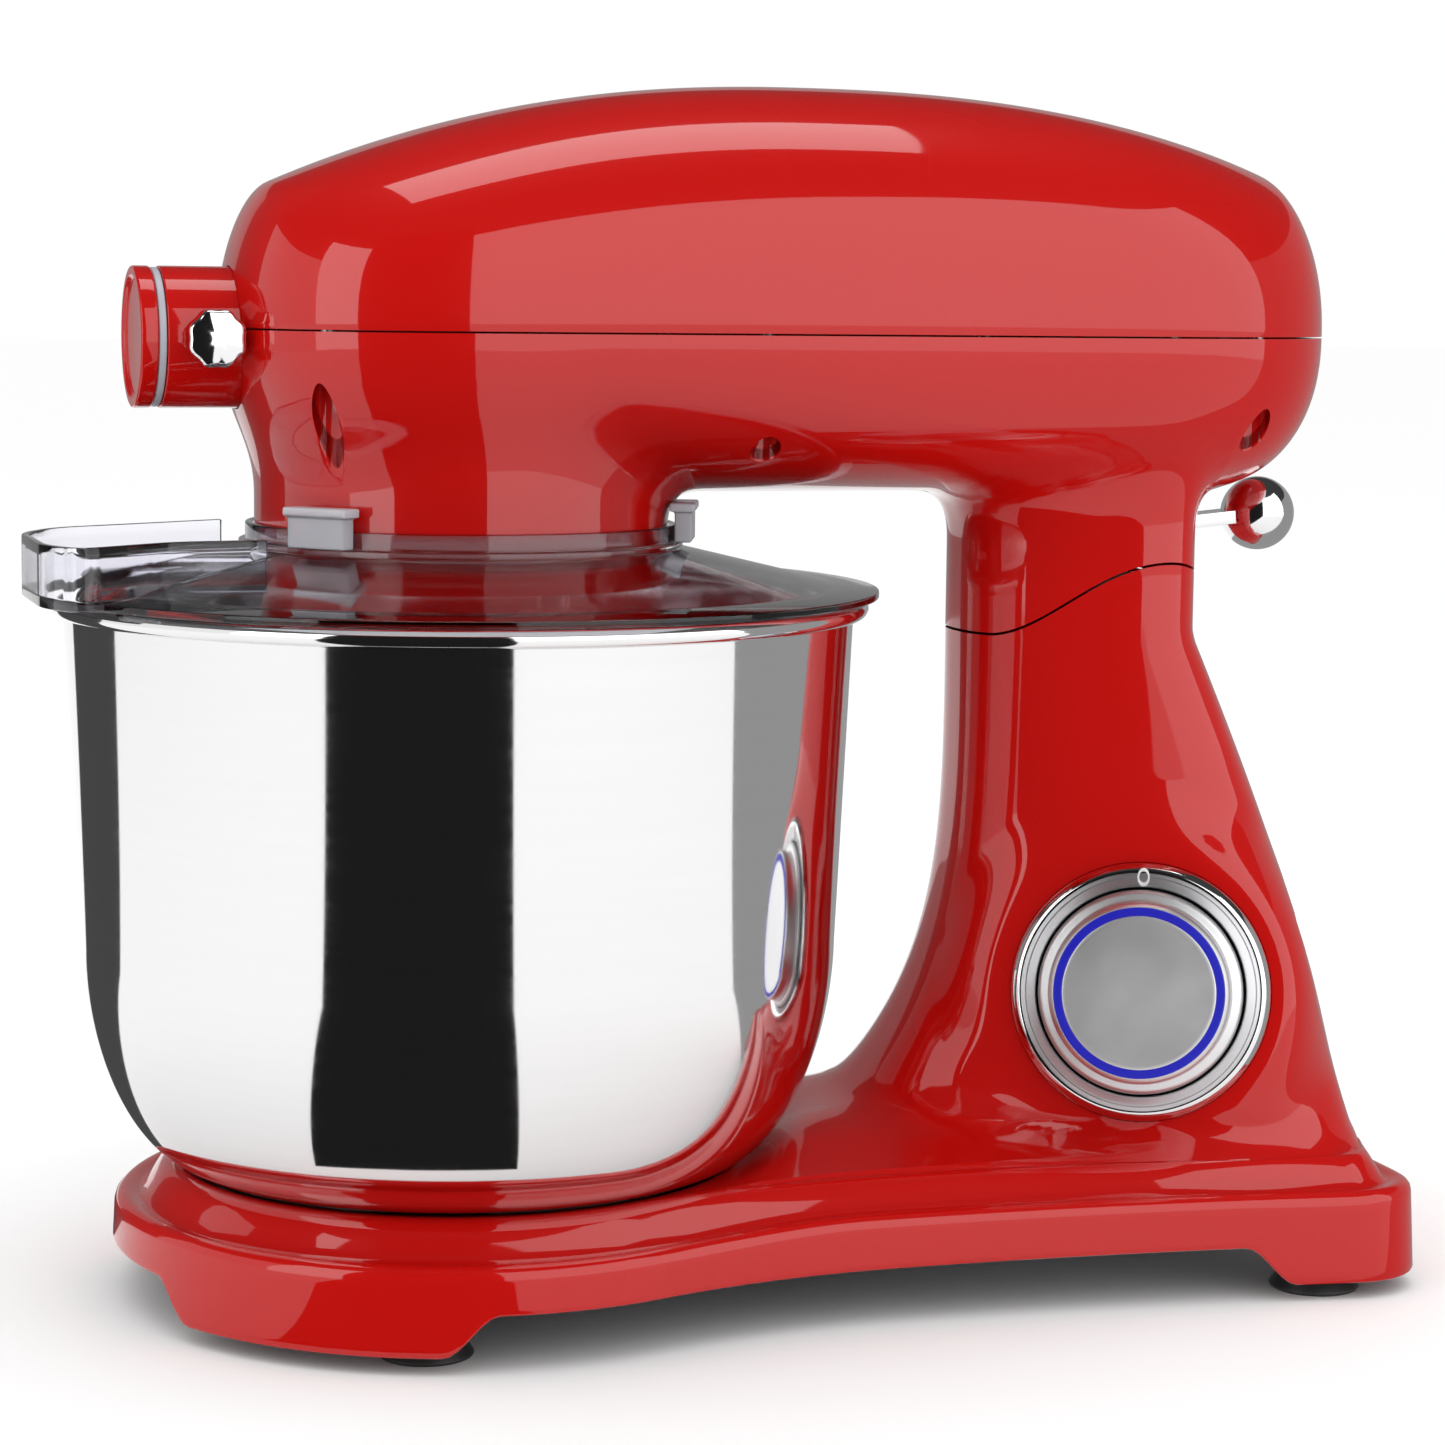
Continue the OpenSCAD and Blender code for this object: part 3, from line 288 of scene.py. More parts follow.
castMetal = finish("castMetal", (0.42, 0.43, 0.45), (0.4, 0.55), 1, 0.1, grainScale=500, grain=0.3)
steel = finish("steel", (0.55, 0.55, 0.56), (0.22, 0.35), 1, 0.08, grainScale=700, grain=0.08)
brightPin = finish("brightPin", (0.66, 0.66, 0.67), (0.12, 0.2), 1, 0.05)
bronze = finish("bronze", (0.55, 0.36, 0.14), (0.3, 0.42), 1, 0.1, grain=0.1)
copper = finish("copper", (0.60, 0.25, 0.10), (0.3, 0.45), 1, 0.15, stretch=(1, 1, 12), grainScale=300,
                grain=0.5)
carbon = finish("carbon", (0.03, 0.03, 0.032), (0.5, 0.65), 0, 0.2, grain=0.2)
green = finish("boardGreen", (0.01, 0.12, 0.045), (0.35, 0.5), 0, 0.15, driftScale=60)
nylon = finish("nylon", (0.72, 0.66, 0.48), (0.4, 0.5), 0, 0.04)
silicone = finish("silicone", (0.42, 0.42, 0.47), (0.35, 0.5), 0, 0.05, grain=0.05)
beaterMetal = finish("beaterMetal", (0.70, 0.70, 0.71), (0.25, 0.38), 1, 0.06, grainScale=500, grain=0.15)
blueLight = finish("blueLight", (0.0, 0.0, 0.30), (0.3, 0.4), 0, 0.1, Emission_Strength=0.14,
                   Emission_Color=(0.0, 0.0, 1.0, 1))
digitInk = finish("digitInk", (0.9, 0.9, 0.9), (0.3, 0.4), 0, 0.03)
print("finishes made")


head = dict(width=132, rise=72.1, drop=47.2, front=-70.5, rear=267.5, seam=283.7, gap=0.5, wall=3,
            square=2.3, nosePlan=70.5, tailPlan=88, noseRound=14, tailRound=20, bellyFront=45, bellyBack=36,
            edge=0.5)
neck = dict(front=156.0, rear=224.5, half=50.0, top=193.5, pivotX=208.5, pivotZ=190.5, arc=25.0, lift=0.8)
base = dict(top=40.0, rear=279.0, frontR=103.5, width=190.0, waistX=109.0, waistHalf=84.0, corner=24.0,
            blend=68, arch=16.5, lobe=5.0, recessR=84.0, recessFloor=34.0, grommetR=4.2, grommetY=40,
            grommetZ=25.2)
rimZ = 203.8  # the middle of the bowl's rolled rim


def bulge(t, n):
    return np.maximum(0, 1 - np.clip(t, 0, 1) ** n) ** (1 / n)


def signedPower(v, p):
    return np.sign(v) * np.abs(v) ** p


def headHalf(x):  # half the head's width at x
    return (head["width"] / 2
            * bulge((head["nosePlan"] - (x - head["front"])) / head["nosePlan"], head["square"])
            * bulge((head["tailPlan"] - (head["rear"] - x)) / head["tailPlan"], head["square"] + 0.2))


def headUp(x):  # the head's height above its seam
    u = (x - head["front"]) / (head["rear"] - head["front"])
    crown = np.where(u < 0.5, 1 - 0.51 * np.abs((0.5 - u) / 0.5) ** 2.23,
                     1 - 0.415 * np.abs((u - 0.5) / 0.5) ** 2.47)
    return (head["rise"] * crown * bulge(1 - (x - head["front"]) / head["noseRound"], 2)
            * bulge(1 - (head["rear"] - x) / head["tailRound"], 2))


def headDown(x):  # and its depth below it
    return (head["drop"] * bulge(1 - (x - head["front"]) / head["bellyFront"], 2.2)
            * bulge(1 - (head["rear"] - x) / head["bellyBack"], 2.2))


def sectionAt(angles, power):  # a rounded, slightly square section
    return signedPower(np.cos(angles), 2 / power), signedPower(np.sin(angles), 2 / power)


def stationsAlong(count):
    middle, half = (head["front"] + head["rear"]) / 2, (head["rear"] - head["front"]) / 2
    return middle - half * np.cos(np.pi * np.arange(count + 1) / count)


hubZ = head["seam"] - 2.7
hubR = 20.2
hubFit = 0.3


def turnX(x, z=hubZ):
    # a spun piece whose axis runs along X, starting at x
    return at(x, 0, z) @ Matrix.Rotation(math.pi / 2, 4, "Y")


def makeTopCover():
    xs = stationsAlong(150)
    a = np.linspace(0, math.pi, 81)
    c, s = sectionAt(a, head["square"])
    lift = head["gap"] / 2
    points = np.array([[[x, headHalf(x) * ci, head["seam"] + lift + max(headUp(x) * si, 0)]
                        for ci, si in zip(c, s)] for x in xs])
    obj = pulledGrid("head_top_shell", points)
    tidied(obj)
    face = max(obj.data.polygons, key=lambda f: f.center.z)
    if face.normal.z < 0:
        obj.data.flip_normals()
    applied(obj, "SOLIDIFY", thickness=head["wall"] * mm, offset=-1)
    applied(obj, "BEVEL", width=head["edge"] * mm, segments=2, limit_method="ANGLE",
            angle_limit=math.radians(60))
    cut(obj, rod(0, 0, 0, hubR + hubFit, 30, turnX(head["front"] - 12)))
    return finished(obj, redPaint, "head", ["head_top_cover"], 30)


lower = dict(housingR=60.5, housingBlend=10, neckBlend=14, voxel=2.0, wellR=4.5, liningR=6, wellDepth=12,
             wells=[(-48.5, 8), (77.0, 15), (231.5, 9)])  # wells: along X, and inside the widest outline


def neckRadii(c):  # the neck is narrower at its front
    return neck["half"] * (1 - 0.25 * (1 - c))


def lowerFields(p):  # below zero inside the belly, the motor housing and the neck
    x, y, z = p.T
    power = head["square"]
    front = 1 - np.clip((head["nosePlan"] - (x - head["front"])) / head["nosePlan"], 0, 2) ** power
    back = 1 - np.clip((head["tailPlan"] - (head["rear"] - x)) / head["tailPlan"], 0, 2) ** (power + 0.2)
    plan = front * signedPower(back, power / (power + 0.2))
    xi = np.clip(x, head["front"] + 1, head["rear"] - 1)
    ratio = (headHalf(xi) / (head["width"] / 2) / (headDown(xi) / head["drop"])) ** power
    drop = np.maximum(head["seam"] - z, 0)
    belly = (np.abs(y) / (head["width"] / 2)) ** power + (drop / head["drop"]) ** power * ratio - plan
    middle, reach = (neck["front"] + neck["rear"]) / 2, (neck["rear"] - neck["front"]) / 2
    c = np.clip((x - middle) / reach, -1.6, 1.6)
    foot = (np.abs(y) / neckRadii(np.clip(c, -1, 1))) ** 3 + np.abs(c) ** 3 - 1
    return belly, np.hypot(x, y) - lower["housingR"], foot


def gradientOf(field, p, h=0.02):
    g = np.zeros_like(p)
    for k in range(3):
        step = np.zeros(3)
        step[k] = h
        g[:, k] = (field(p + step) - field(p - step)) / (2 * h)
    return g


def distanceOf(index, p):  # about how far, in mm, each point is outside that shape
    def field(q):
        return lowerFields(q)[index]
    size = np.linalg.norm(gradientOf(field, p), axis=1)
    return np.clip(field(p) / np.maximum(size, 1e-4), -40, 40)


def blended(a, b, k):  # two shapes as one, with a soft fillet of width k
    h = np.clip(0.5 + 0.5 * (b - a) / k, 0, 1)
    return b * (1 - h) + a * h - k * h * (1 - h)


def lowerShape(p):
    belly, foot = distanceOf(0, p), distanceOf(2, p)
    body = blended(belly, lowerFields(p)[1], lower["housingBlend"])
    return blended(body, foot, lower["neckBlend"])


def settled(points, steps=5):
    # moves loose points onto the smooth shape; the flat ends are cut off later
    x, y, z = points.T
    ends = (z > head["seam"] + 5) | ((x < 100) & (z < 201)) | ((x > 140) & (z < 183))
    loose = ~(ends & (lowerShape(points) < -3.5))
    p = points[loose].copy()
    for _ in range(steps):
        value = lowerShape(p)
        g = gradientOf(lowerShape, p, 0.05)
        g /= np.maximum(np.linalg.norm(g, axis=1), 0.2)[:, None] ** 2
        p -= np.clip(value, -4, 4)[:, None] * g
    out = points.copy()
    out[loose] = p
    return out


def sliced(obj, chosen, z, keepAbove):
    # cuts the chosen faces at a height and clears one side
    pick(obj)
    bpy.context.tool_settings.mesh_select_mode = (False, False, True)
    bpy.ops.object.mode_set(mode="EDIT")
    bpy.ops.mesh.select_all(action="DESELECT")
    bpy.ops.object.mode_set(mode="OBJECT")
    for face in obj.data.polygons:
        face.select = bool(chosen(face.center.x / mm - bowlX, face.center.z / mm))
    bpy.ops.object.mode_set(mode="EDIT")
    bpy.ops.mesh.bisect(plane_co=(0, 0, z * mm), plane_no=(0, 0, 1), clear_inner=keepAbove,
                        clear_outer=not keepAbove)
    bpy.ops.object.mode_set(mode="OBJECT")
    bpy.context.tool_settings.mesh_select_mode = (True, False, False)
    return obj


def partingZ(x, lift):  # the S-shaped line where the head's neck meets the column
    low, high = neck["top"] - 0.6, neck["pivotZ"] + neck["arc"]
    u = np.clip((x - neck["front"] - 4) / (neck["pivotX"] - neck["front"] - 4), 0, 1)
    rise = low + (high - low) * (0.5 - 0.5 * np.cos(math.pi * u ** 0.8)) + lift
    arc = neck["pivotZ"] + np.sqrt(np.maximum(0, (neck["arc"] + lift) ** 2 - (x - neck["pivotX"]) ** 2))
    return np.where(x < neck["pivotX"], rise, arc)


def makeLowerShell():
    xs = stationsAlong(70)
    a = np.linspace(0, 2 * math.pi, 97)
    c, s = sectionAt(a, head["square"])
    loft = np.array([[[x, headHalf(x) * ci,
                       head["seam"] + (si * 7 * min(1, headHalf(x) / 20) if si > 0 else headDown(x) * si)]
                      for ci, si in zip(c, s)] for x in xs])
    rough = tidied(pulledGrid("head_lower_form", loft))
    housing = rod(0, 0, 198, lower["housingR"], 80, steps=96)
    foot = rod(0, 0, 180, 1, 76, steps=96)
    p = readPoints(foot)
    angle = np.arctan2(p[:, 1], p[:, 0])
    cf, sf = sectionAt(angle, 3)
    p[:, 0] = (neck["front"] + neck["rear"]) / 2 + (neck["rear"] - neck["front"]) / 2 * cf
    p[:, 1] = neckRadii(cf) * sf
    writePoints(foot, p)
    rough = joined(rough, housing, foot)
    applied(rough, "REMESH", mode="VOXEL", voxel_size=lower["voxel"] * mm)
    writePoints(rough, settled(readPoints(rough)))
    form = rough.copy()
    form.data = rough.data.copy()
    bpy.context.collection.objects.link(form)
    applied(form, "DISPLACE", strength=-0.5 * mm, mid_level=0.0)
    sliced(rough, lambda x, z: z > head["seam"] - 10, head["seam"] - head["gap"] / 2, False)
    sliced(rough, lambda x, z: x < 110 and z < 230, rimZ + 4, True)
    neckCut = 186.0
    sliced(rough, lambda x, z: x > 130 and z < 205, neckCut, True)
    p = readPoints(rough)
    low, high = partingZ(p[:, 0], neck["lift"]), 223.0  # the level edge is eased up to the parting line
    eased = low + (p[:, 2] - neckCut) * (high - low) / (high - neckCut)
    p[:, 2] = np.where((p[:, 0] > 130) & (p[:, 2] < high), eased, p[:, 2])
    writePoints(rough, p)
    print("lower form settled", len(p))
    applied(rough, "SOLIDIFY", thickness=head["wall"] * mm, offset=-1)
    linings = []
    wellTop = head["seam"] - lower["wellDepth"]
    for x, inset in lower["wells"]:
        for side in (-1, 1):
            y = side * (headHalf(np.array(x)) - inset)
            cut(rough, rod(x, y, 200, lower["wellR"], wellTop - 200, steps=48))
            hole, skin, low = lower["wellR"], lower["liningR"], 236 - wellTop
            section = [(hole, low), (skin, low), (skin, 1.5), (0, 1.5), (0, 0), (hole, 0)]
            linings.append(turned("lining", section, 48, 0, at(x, y, wellTop)))
    linings = joined(*linings)
    cut(linings, form, "INTERSECT")
    cut(rough, rod(0, 0, 0, hubR + hubFit, 30, turnX(head["front"] - 12)))
    cut(rough, block((216, -7.5, 216.5), (256, 7.5, 230)))  # the slot of the release lever
    joined(rough, linings)
    rough.name = "head_belly"
    return finished(rough, redPaint, "head", ["head_lower_shell"], 30)


centreX = 190.0  # the rings of the stand run round this point
stand = dict(stations=460, inset=18.6, draft=1.2, sideRise=2.0, fillet=8.0, domeRise=10)
skirtEdge = ((0.0, 0.9), (0.3, 0.3), (0.9, 0.0))  # rise and inset of the skirt's lower edge
shoulder = ((1.6, 28.4), (2.5, 29.5), (3.8, 30.2), (5.2, 30.3), (6.6, 30.0), (7.7, 29.6))  # inset and height
band = ((8.5, 29.5), (9.3, 30.0), (10.6, 31.8), (12.2, 34.3), (13.9, 36.8), (15.6, 38.8), (17.1, 39.8),
        (18.6, 40))  # from the crease up to the flat top


def sideHalf(x):  # half the base's width along its waisted sides
    wx, wh = base["waistX"], base["waistHalf"]
    join = math.radians(base["blend"])
    share = (wx - x) / (wx - base["frontR"] * math.cos(join))
    frontRise = (base["frontR"] * math.sin(join) - wh) * share ** 2
    rearRise = (base["width"] / 2 - wh) * ((x - wx) / (base["rear"] - base["corner"] - wx)) ** 2
    return wh + np.where(x < wx, frontRise, rearRise)


def circularSmooth(points, sigma):  # evens out a closed row of points
    reach = int(4 * sigma)
    weights = np.exp(-0.5 * (np.arange(-reach, reach + 1) / sigma) ** 2)
    weights /= weights.sum()
    return sum(w * np.roll(points, k, axis=0) for w, k in zip(weights, range(-reach, reach + 1)))


def baseOutline(count):
    r, rear, half = base["corner"], base["rear"], base["width"] / 2
    straight = [(rear, y) for y in np.linspace(0, half - r, 60)]
    corner = [(rear - r + r * math.cos(t), half - r + r * math.sin(t)) for t in np.linspace(0, math.pi / 2, 60)]
    join = math.radians(base["blend"])
    side = [(x, float(sideHalf(x))) for x in np.linspace(rear - r, base["frontR"] * math.cos(join), 200)]
    front = [(base["frontR"] * math.cos(t), base["frontR"] * math.sin(t))
             for t in np.linspace(join, math.pi, 200)]
    upper = np.array(straight + corner[1:] + side[1:] + front[1:])
    lower = upper[::-1][1:-1] * [1, -1]
    loop = np.vstack([upper, lower, upper[:1]])
    s = np.concatenate([[0], np.cumsum(np.linalg.norm(np.diff(loop, axis=0), axis=1))])
    even = np.linspace(0, s[-1], count, endpoint=False)
    points = np.column_stack([np.interp(even, s, loop[:, 0]), np.interp(even, s, loop[:, 1])])
    return circularSmooth(points, 1.6)


def columnRadius(theta, z):
    # distance from the centre to the column's surface, at a heading and a height
    t = min(1, max(0, (z - base["top"]) / (neck["top"] - base["top"])))
    front = neck["front"] - 44.5 * (1 - t) ** 3.8
    rear = neck["rear"] + 54 * (1 - t ** 1.33)
    half = neck["half"] + 28 * (1 - t) ** 5 + 14 * (1 - t)
    a = np.linspace(-math.pi, math.pi, 1441)
    c, s = sectionAt(a, 3)
    x = (front + rear) / 2 + (rear - front) / 2 * c - centreX
    y = half * s * (1 - 0.25 * (1 - c))
    return np.interp(theta, np.unwrap(np.arctan2(y, x)), np.hypot(x, y), period=2 * math.pi)


def dome(x, y):
    # the spine that rises behind the bowl towards the column
    near = smoothStep((np.hypot(x, y) - 86.5) / 17)
    return stand["domeRise"] * near * smoothStep((78 - np.abs(y)) / 60) * smoothStep((x - 20) / 60)


def skirtLow(p):  # the skirt's lower edge: deep at the four corners, arched between them
    heading = np.degrees(np.abs(np.arctan2(p[:, 1], p[:, 0])))
    front = smoothStep((heading - 97) / 9) * smoothStep((160 - heading) / 9) * (p[:, 0] < 60)
    rear = smoothStep((p[:, 0] - 217) / 16) * smoothStep((np.abs(p[:, 1]) - 39) / 16)
    return base["arch"] - (base["arch"] - base["lobe"]) * np.maximum(front, rear)


dialAt = np.array([197.0, -53.5, 88.0])
dialTurn = Matrix.Rotation(math.radians(244.7), 4, "Z") @ Matrix.Rotation(math.radians(80.2), 4, "Y")
dialPlace = at(*dialAt) @ dialTurn
dialAxis = np.array(dialPlace.to_3x3() @ Vector((0, 0, 1)))
bezelR = 38.8


def toDialPlane(points):
    # eases the column's side out to a flat seat round the dial
    rel = points - dialAt
    w = rel @ dialAxis
    flat = rel - np.outer(w, dialAxis)
    rho = np.linalg.norm(flat, axis=1)
    weight = smoothStep((64 - rho) / 22) * smoothStep((points[:, 2] - 41) / 12) * (w > -35)
    return points + np.outer((-1.0 - w) * weight, dialAxis)


def makeStand():
    count = stand["stations"]
    out = baseOutline(count)
    tangent = np.roll(out, -1, axis=0) - np.roll(out, 1, axis=0)
    tangent /= np.linalg.norm(tangent, axis=1)[:, None]
    inward = np.column_stack([-tangent[:, 1], tangent[:, 0]])
    side = stand["sideRise"] * smoothStep((out[:, 0] - 40) / 60)
    low = skirtLow(out)
    rows = []

    def ring(inset, z):
        plan = out + inward * (np.asarray(inset)[..., None] if np.ndim(inset) else inset)
        rows.append(np.column_stack([plan, np.broadcast_to(z, (count,))]))

    for rise, inset in skirtEdge:
        ring(inset + stand["draft"] * (low + rise - 5) / 22.5, low + rise)
    top = 27 + side
    for f in np.linspace(0.08, 1, 9):
        z = low + 0.9 + (top - low - 0.9) * f
        ring(stand["draft"] * (z - 5) / 22.5, z)
    for inset, z in shoulder:
        ring(inset, z + side)
    innermost = out + inward * stand["inset"]
    theta = np.arctan2(innermost[:, 1], innermost[:, 0] - centreX)
    r18 = np.hypot(innermost[:, 0] - centreX, innermost[:, 1])
    footR = columnRadius(theta, base["top"])
    over = np.maximum(0, footR - r18 + 0.5)
    over = circularSmooth(over[:, None], 4)[:, 0]
    f = np.clip(stand["inset"] - over, 10.5, stand["inset"])  # the band is narrower where the column overhangs
    crease = band[0][0]
    for inset, z in band:
        mix = (inset - crease) / (stand["inset"] - crease)
        ring(crease + mix * (f - crease), z + side * (1 - mix))
    start = rows[-1]
    theta = np.arctan2(start[:, 1], start[:, 0] - centreX)
    startR = np.hypot(start[:, 0] - centreX, start[:, 1])
    direction = np.column_stack([np.cos(theta), np.sin(theta)])
    footR = np.minimum(columnRadius(theta, base["top"]), startR - 0.4)
    excess = columnRadius(theta, base["top"]) - footR
    levels = np.concatenate([[0], np.cumsum(np.linspace(0.4, 1, 70))])
    levels = levels / levels[-1]
    foot = direction * footR[:, None] + [centreX, 0]
    footRise = dome(foot[:, 0], foot[:, 1])
    neckR = columnRadius(theta, 200)
    topZ = partingZ(neckR * direction[:, 0] + centreX, 0.0)
    fine, kept = 260, 96
    upper = np.zeros((kept, count, 3))
    grid = [base["top"] + (topZ.max() - base["top"]) * k / 60 for k in range(61)]
    radii = np.array([columnRadius(theta, z) for z in grid])
    for i in range(count):
        w = np.linspace(0, 1, 40)[:, None]
        flat = start[i, :2] * (1 - w) + foot[i] * w
        flatZ = base["top"] + dome(flat[:, 0], flat[:, 1])
        z = base["top"] + footRise[i] + (topZ[i] - base["top"] - footRise[i]) * levels
        ease = np.maximum(0, 1 - (z - base["top"]) / 60) ** 2
        r = np.interp(z, grid, radii[:, i]) - excess[i] * ease
        r = np.minimum(r, startR[i] - 0.4)
        wall = np.column_stack([centreX + direction[i, 0] * r, direction[i, 1] * r, z])
        line = np.vstack([np.column_stack([flat, flatZ]), wall])
        s = np.concatenate([[0], np.cumsum(np.linalg.norm(np.diff(line, axis=0), axis=1))])
        corner = s[39]
        even = np.linspace(0, s[-1], fine)
        dense = np.column_stack([np.interp(even, s, line[:, k]) for k in range(3)])
        reach = even - corner
        sigma = min(stand["fillet"], 2.0 + 0.35 * corner) / (even[1] - even[0])
        window = np.arange(-int(3 * sigma) - 1, int(3 * sigma) + 2)
        weights = np.exp(-0.5 * (window / sigma) ** 2)
        weights /= weights.sum()
        soft = np.zeros_like(dense)
        index = np.arange(fine)
        for k, wt in zip(window, weights):
            j = index + k
            edge = np.clip(j, 0, fine - 1)
            value = dense[edge].copy()
            before, after = j < 0, j >= fine
            value[before] = 2 * dense[0] - dense[np.clip(-j[before], 0, fine - 1)]
            value[after] = 2 * dense[-1] - dense[np.clip(2 * fine - 2 - j[after], 0, fine - 1)]
            soft += wt * value
        mask = np.exp(-(reach / 30.0) ** 2)[:, None]
        dense = dense * (1 - mask) + soft * mask
        dense[0] = line[0]
        dense[-1] = line[-1]
        places = np.linspace(0, s[-1], kept)
        upper[:, i] = np.column_stack([np.interp(places, even, dense[:, k]) for k in range(3)])
    for _ in range(6):
        mid = upper[1:-1]
        upper[1:-1] = 0.5 * mid + 0.25 * (np.roll(mid, 1, axis=1) + np.roll(mid, -1, axis=1))
    rows.extend(upper[1:])
    points = np.array(rows)
    points = toDialPlane(points.reshape(-1, 3)).reshape(points.shape)
    points = np.concatenate([points, points[:, :1]], axis=1)
    obj = tidied(pulledGrid("stand_shell", points), turnOut=False)
    face = max(obj.data.polygons, key=lambda f: f.center.x)
    if face.normal.x < 0:
        obj.data.flip_normals()
    applied(obj, "SOLIDIFY", thickness=head["wall"] * mm, offset=-1, use_even_offset=True, thickness_clamp=1.0)
    cut(obj, rod(0, 0, base["recessFloor"] - 20, base["recessR"], 60, steps=192))
    cut(obj, rod(0, 0, 0, bezelR + 0.25, 60, dialPlace @ Matrix.Translation((0, 0, -0.03)), steps=128))
    grommet = at(262, base["grommetY"], base["grommetZ"]) @ Matrix.Rotation(math.pi / 2, 4, "Y")
    cut(obj, rod(0, 0, 0, base["grommetR"], 30, grommet, steps=48))
    r, floorZ = base["recessR"], base["recessFloor"]
    section = [(0, floorZ), (r, floorZ), (r, base["top"] - 0.1), (r + 2.5, 37.6), (r + 2.5, 31), (0, 31)]
    pan = turned("pan", section, 192, 0)
    joined(obj, pan)
    return finished(obj, redPaint, "stand", ["stand_housing"], 32)


makeTopCover()
print("top cover made")
makeStand()
print("stand made")
makeLowerShell()
print("lower shell made")

bowlSizes = dict(floorR=79.0, waistR=111.3, sideR=115.7, wall=1.2, low=39.6, flare=66.0, square=1.85,
                 rollR=117.4, roll=2.6)


def makeBowl():
    floorR, waistR, sideR = bowlSizes["floorR"], bowlSizes["waistR"], bowlSizes["sideR"]
    wall, low, power = bowlSizes["wall"], bowlSizes["low"], 2 / bowlSizes["square"]
    curve = [(floorR + (waistR - floorR) * signedPower(np.sin(t), power),
              low + bowlSizes["flare"] * (1 - signedPower(np.cos(t), power)))
             for t in np.linspace(0, math.pi / 2, 40)]
    roll = [(bowlSizes["rollR"] + bowlSizes["roll"] * math.cos(t), rimZ + bowlSizes["roll"] * math.sin(t))
            for t in np.linspace(math.radians(-130), math.radians(190), 22)]
    outer = [(0, low)] + [(r, low) for r in (40, 70)] + curve + [(sideR - 0.02, rimZ - 4)] + roll
    inner = [(sideR - wall, rimZ - 3)] + [(r - wall, z + wall * 0.9) for r, z in curve[::-1]]
    inner += [(70, low + wall), (0, low + wall)]
    bowl = turned("bowl_shell", outer + inner, 192, 0)
    return finished(bowl, bowlSteel, "bowl", ["mixing_bowl"], 40)


makeBowl()

guardZ = rimZ + 3.2
guard = dict(r=123.0, t=2.2, collarR=61.1, collarTop=227.8, chuteTop=224.8, reach=127.5)


def chutePlan(d):  # the chute's outline seen from above, moved inwards by d
    g, c, r = guard["r"], guard["collarR"], guard["reach"]
    return [(-(c + 2), -(30 - d)), (-(g - 33), -(34 - d)), (-(g - 3 - d), -(58 - 1.6 * d)),
            (-(r - d), -(40 - d)), (-(r - d), 12 - d), (-(g - 7 - d), 34 - d), (-(c - 1), 68 - 2 * d)]


def roundedPath(points, radius, steps=6):  # an open row of points with its corners rounded
    out = [np.array(points[0], float)]
    for a, b, c in zip(points, points[1:], points[2:]):
        a, b, c = (np.array(v, float) for v in (a, b, c))
        reach = min(radius, 0.4 * np.linalg.norm(a - b), 0.4 * np.linalg.norm(c - b))
        p = b + (a - b) / np.linalg.norm(a - b) * reach
        q = b + (c - b) / np.linalg.norm(c - b) * reach
        out += [(1 - t) ** 2 * p + 2 * t * (1 - t) * b + t * t * q for t in np.linspace(0, 1, steps)]
    return out + [np.array(points[-1], float)]


def makeGuard():
    g, t = guard["r"], guard["t"]
    c, ct = guard["collarR"], guard["collarTop"]
    section = [(g, guardZ), (g, guardZ + t), (g - 13, guardZ + t + 1), (c + 4, ct - 7), (c + 4, ct - 5),
               (c + 2, ct - 5), (c + 2, ct), (c, ct), (c, ct - 9), (g - 14, guardZ + 0.4), (g - 12, guardZ)]
    obj = turned("splash_cone", section, 160, 0.5)
    plan = roundedPath(chutePlan(t), 8)
    loop = [(p[0], p[1]) for p in plan]
    loop += loop[:1]
    well = pulledGrid("chuteWell", np.array([[[x, y, z] for x, y in loop] for z in (guardZ - 1, guardZ + 60)]))
    tidied(well)
    pick(well)
    bpy.ops.object.mode_set(mode="EDIT")
    bpy.ops.mesh.select_all(action="DESELECT")
    bpy.ops.mesh.select_non_manifold()
    bpy.ops.mesh.fill_holes(sides=0)
    bpy.ops.mesh.select_all(action="SELECT")
    bpy.ops.mesh.normals_make_consistent(inside=False)
    bpy.ops.object.mode_set(mode="OBJECT")
    cut(well, rod(0, 0, guardZ - 5, c + 6, 90, steps=160))
    cut(obj, well)
    wallPath = roundedPath(chutePlan(t / 2), 9)
    heights = np.linspace(guardZ + 0.2, guard["chuteTop"], 6)
    wall = pulledGrid("chuteWall", np.array([[[p[0], p[1], z] for p in wallPath] for z in heights]))
    applied(wall, "SOLIDIFY", thickness=t * mm, offset=0)
    applied(wall, "BEVEL", width=0.5 * mm, segments=2, limit_method="ANGLE", angle_limit=math.radians(50))
    joined(obj, wall)
    return finished(obj, clearGuard, "head", ["splash_guard"], 35)


makeGuard()
print("bowl and guard made")

dial = dict(knobR=30.5, reach=26.0, back=-10.0, lightInset=5.4, lightW=2.5, digitTilt=26, digitTall=1.7,
            digitWide=1.05)


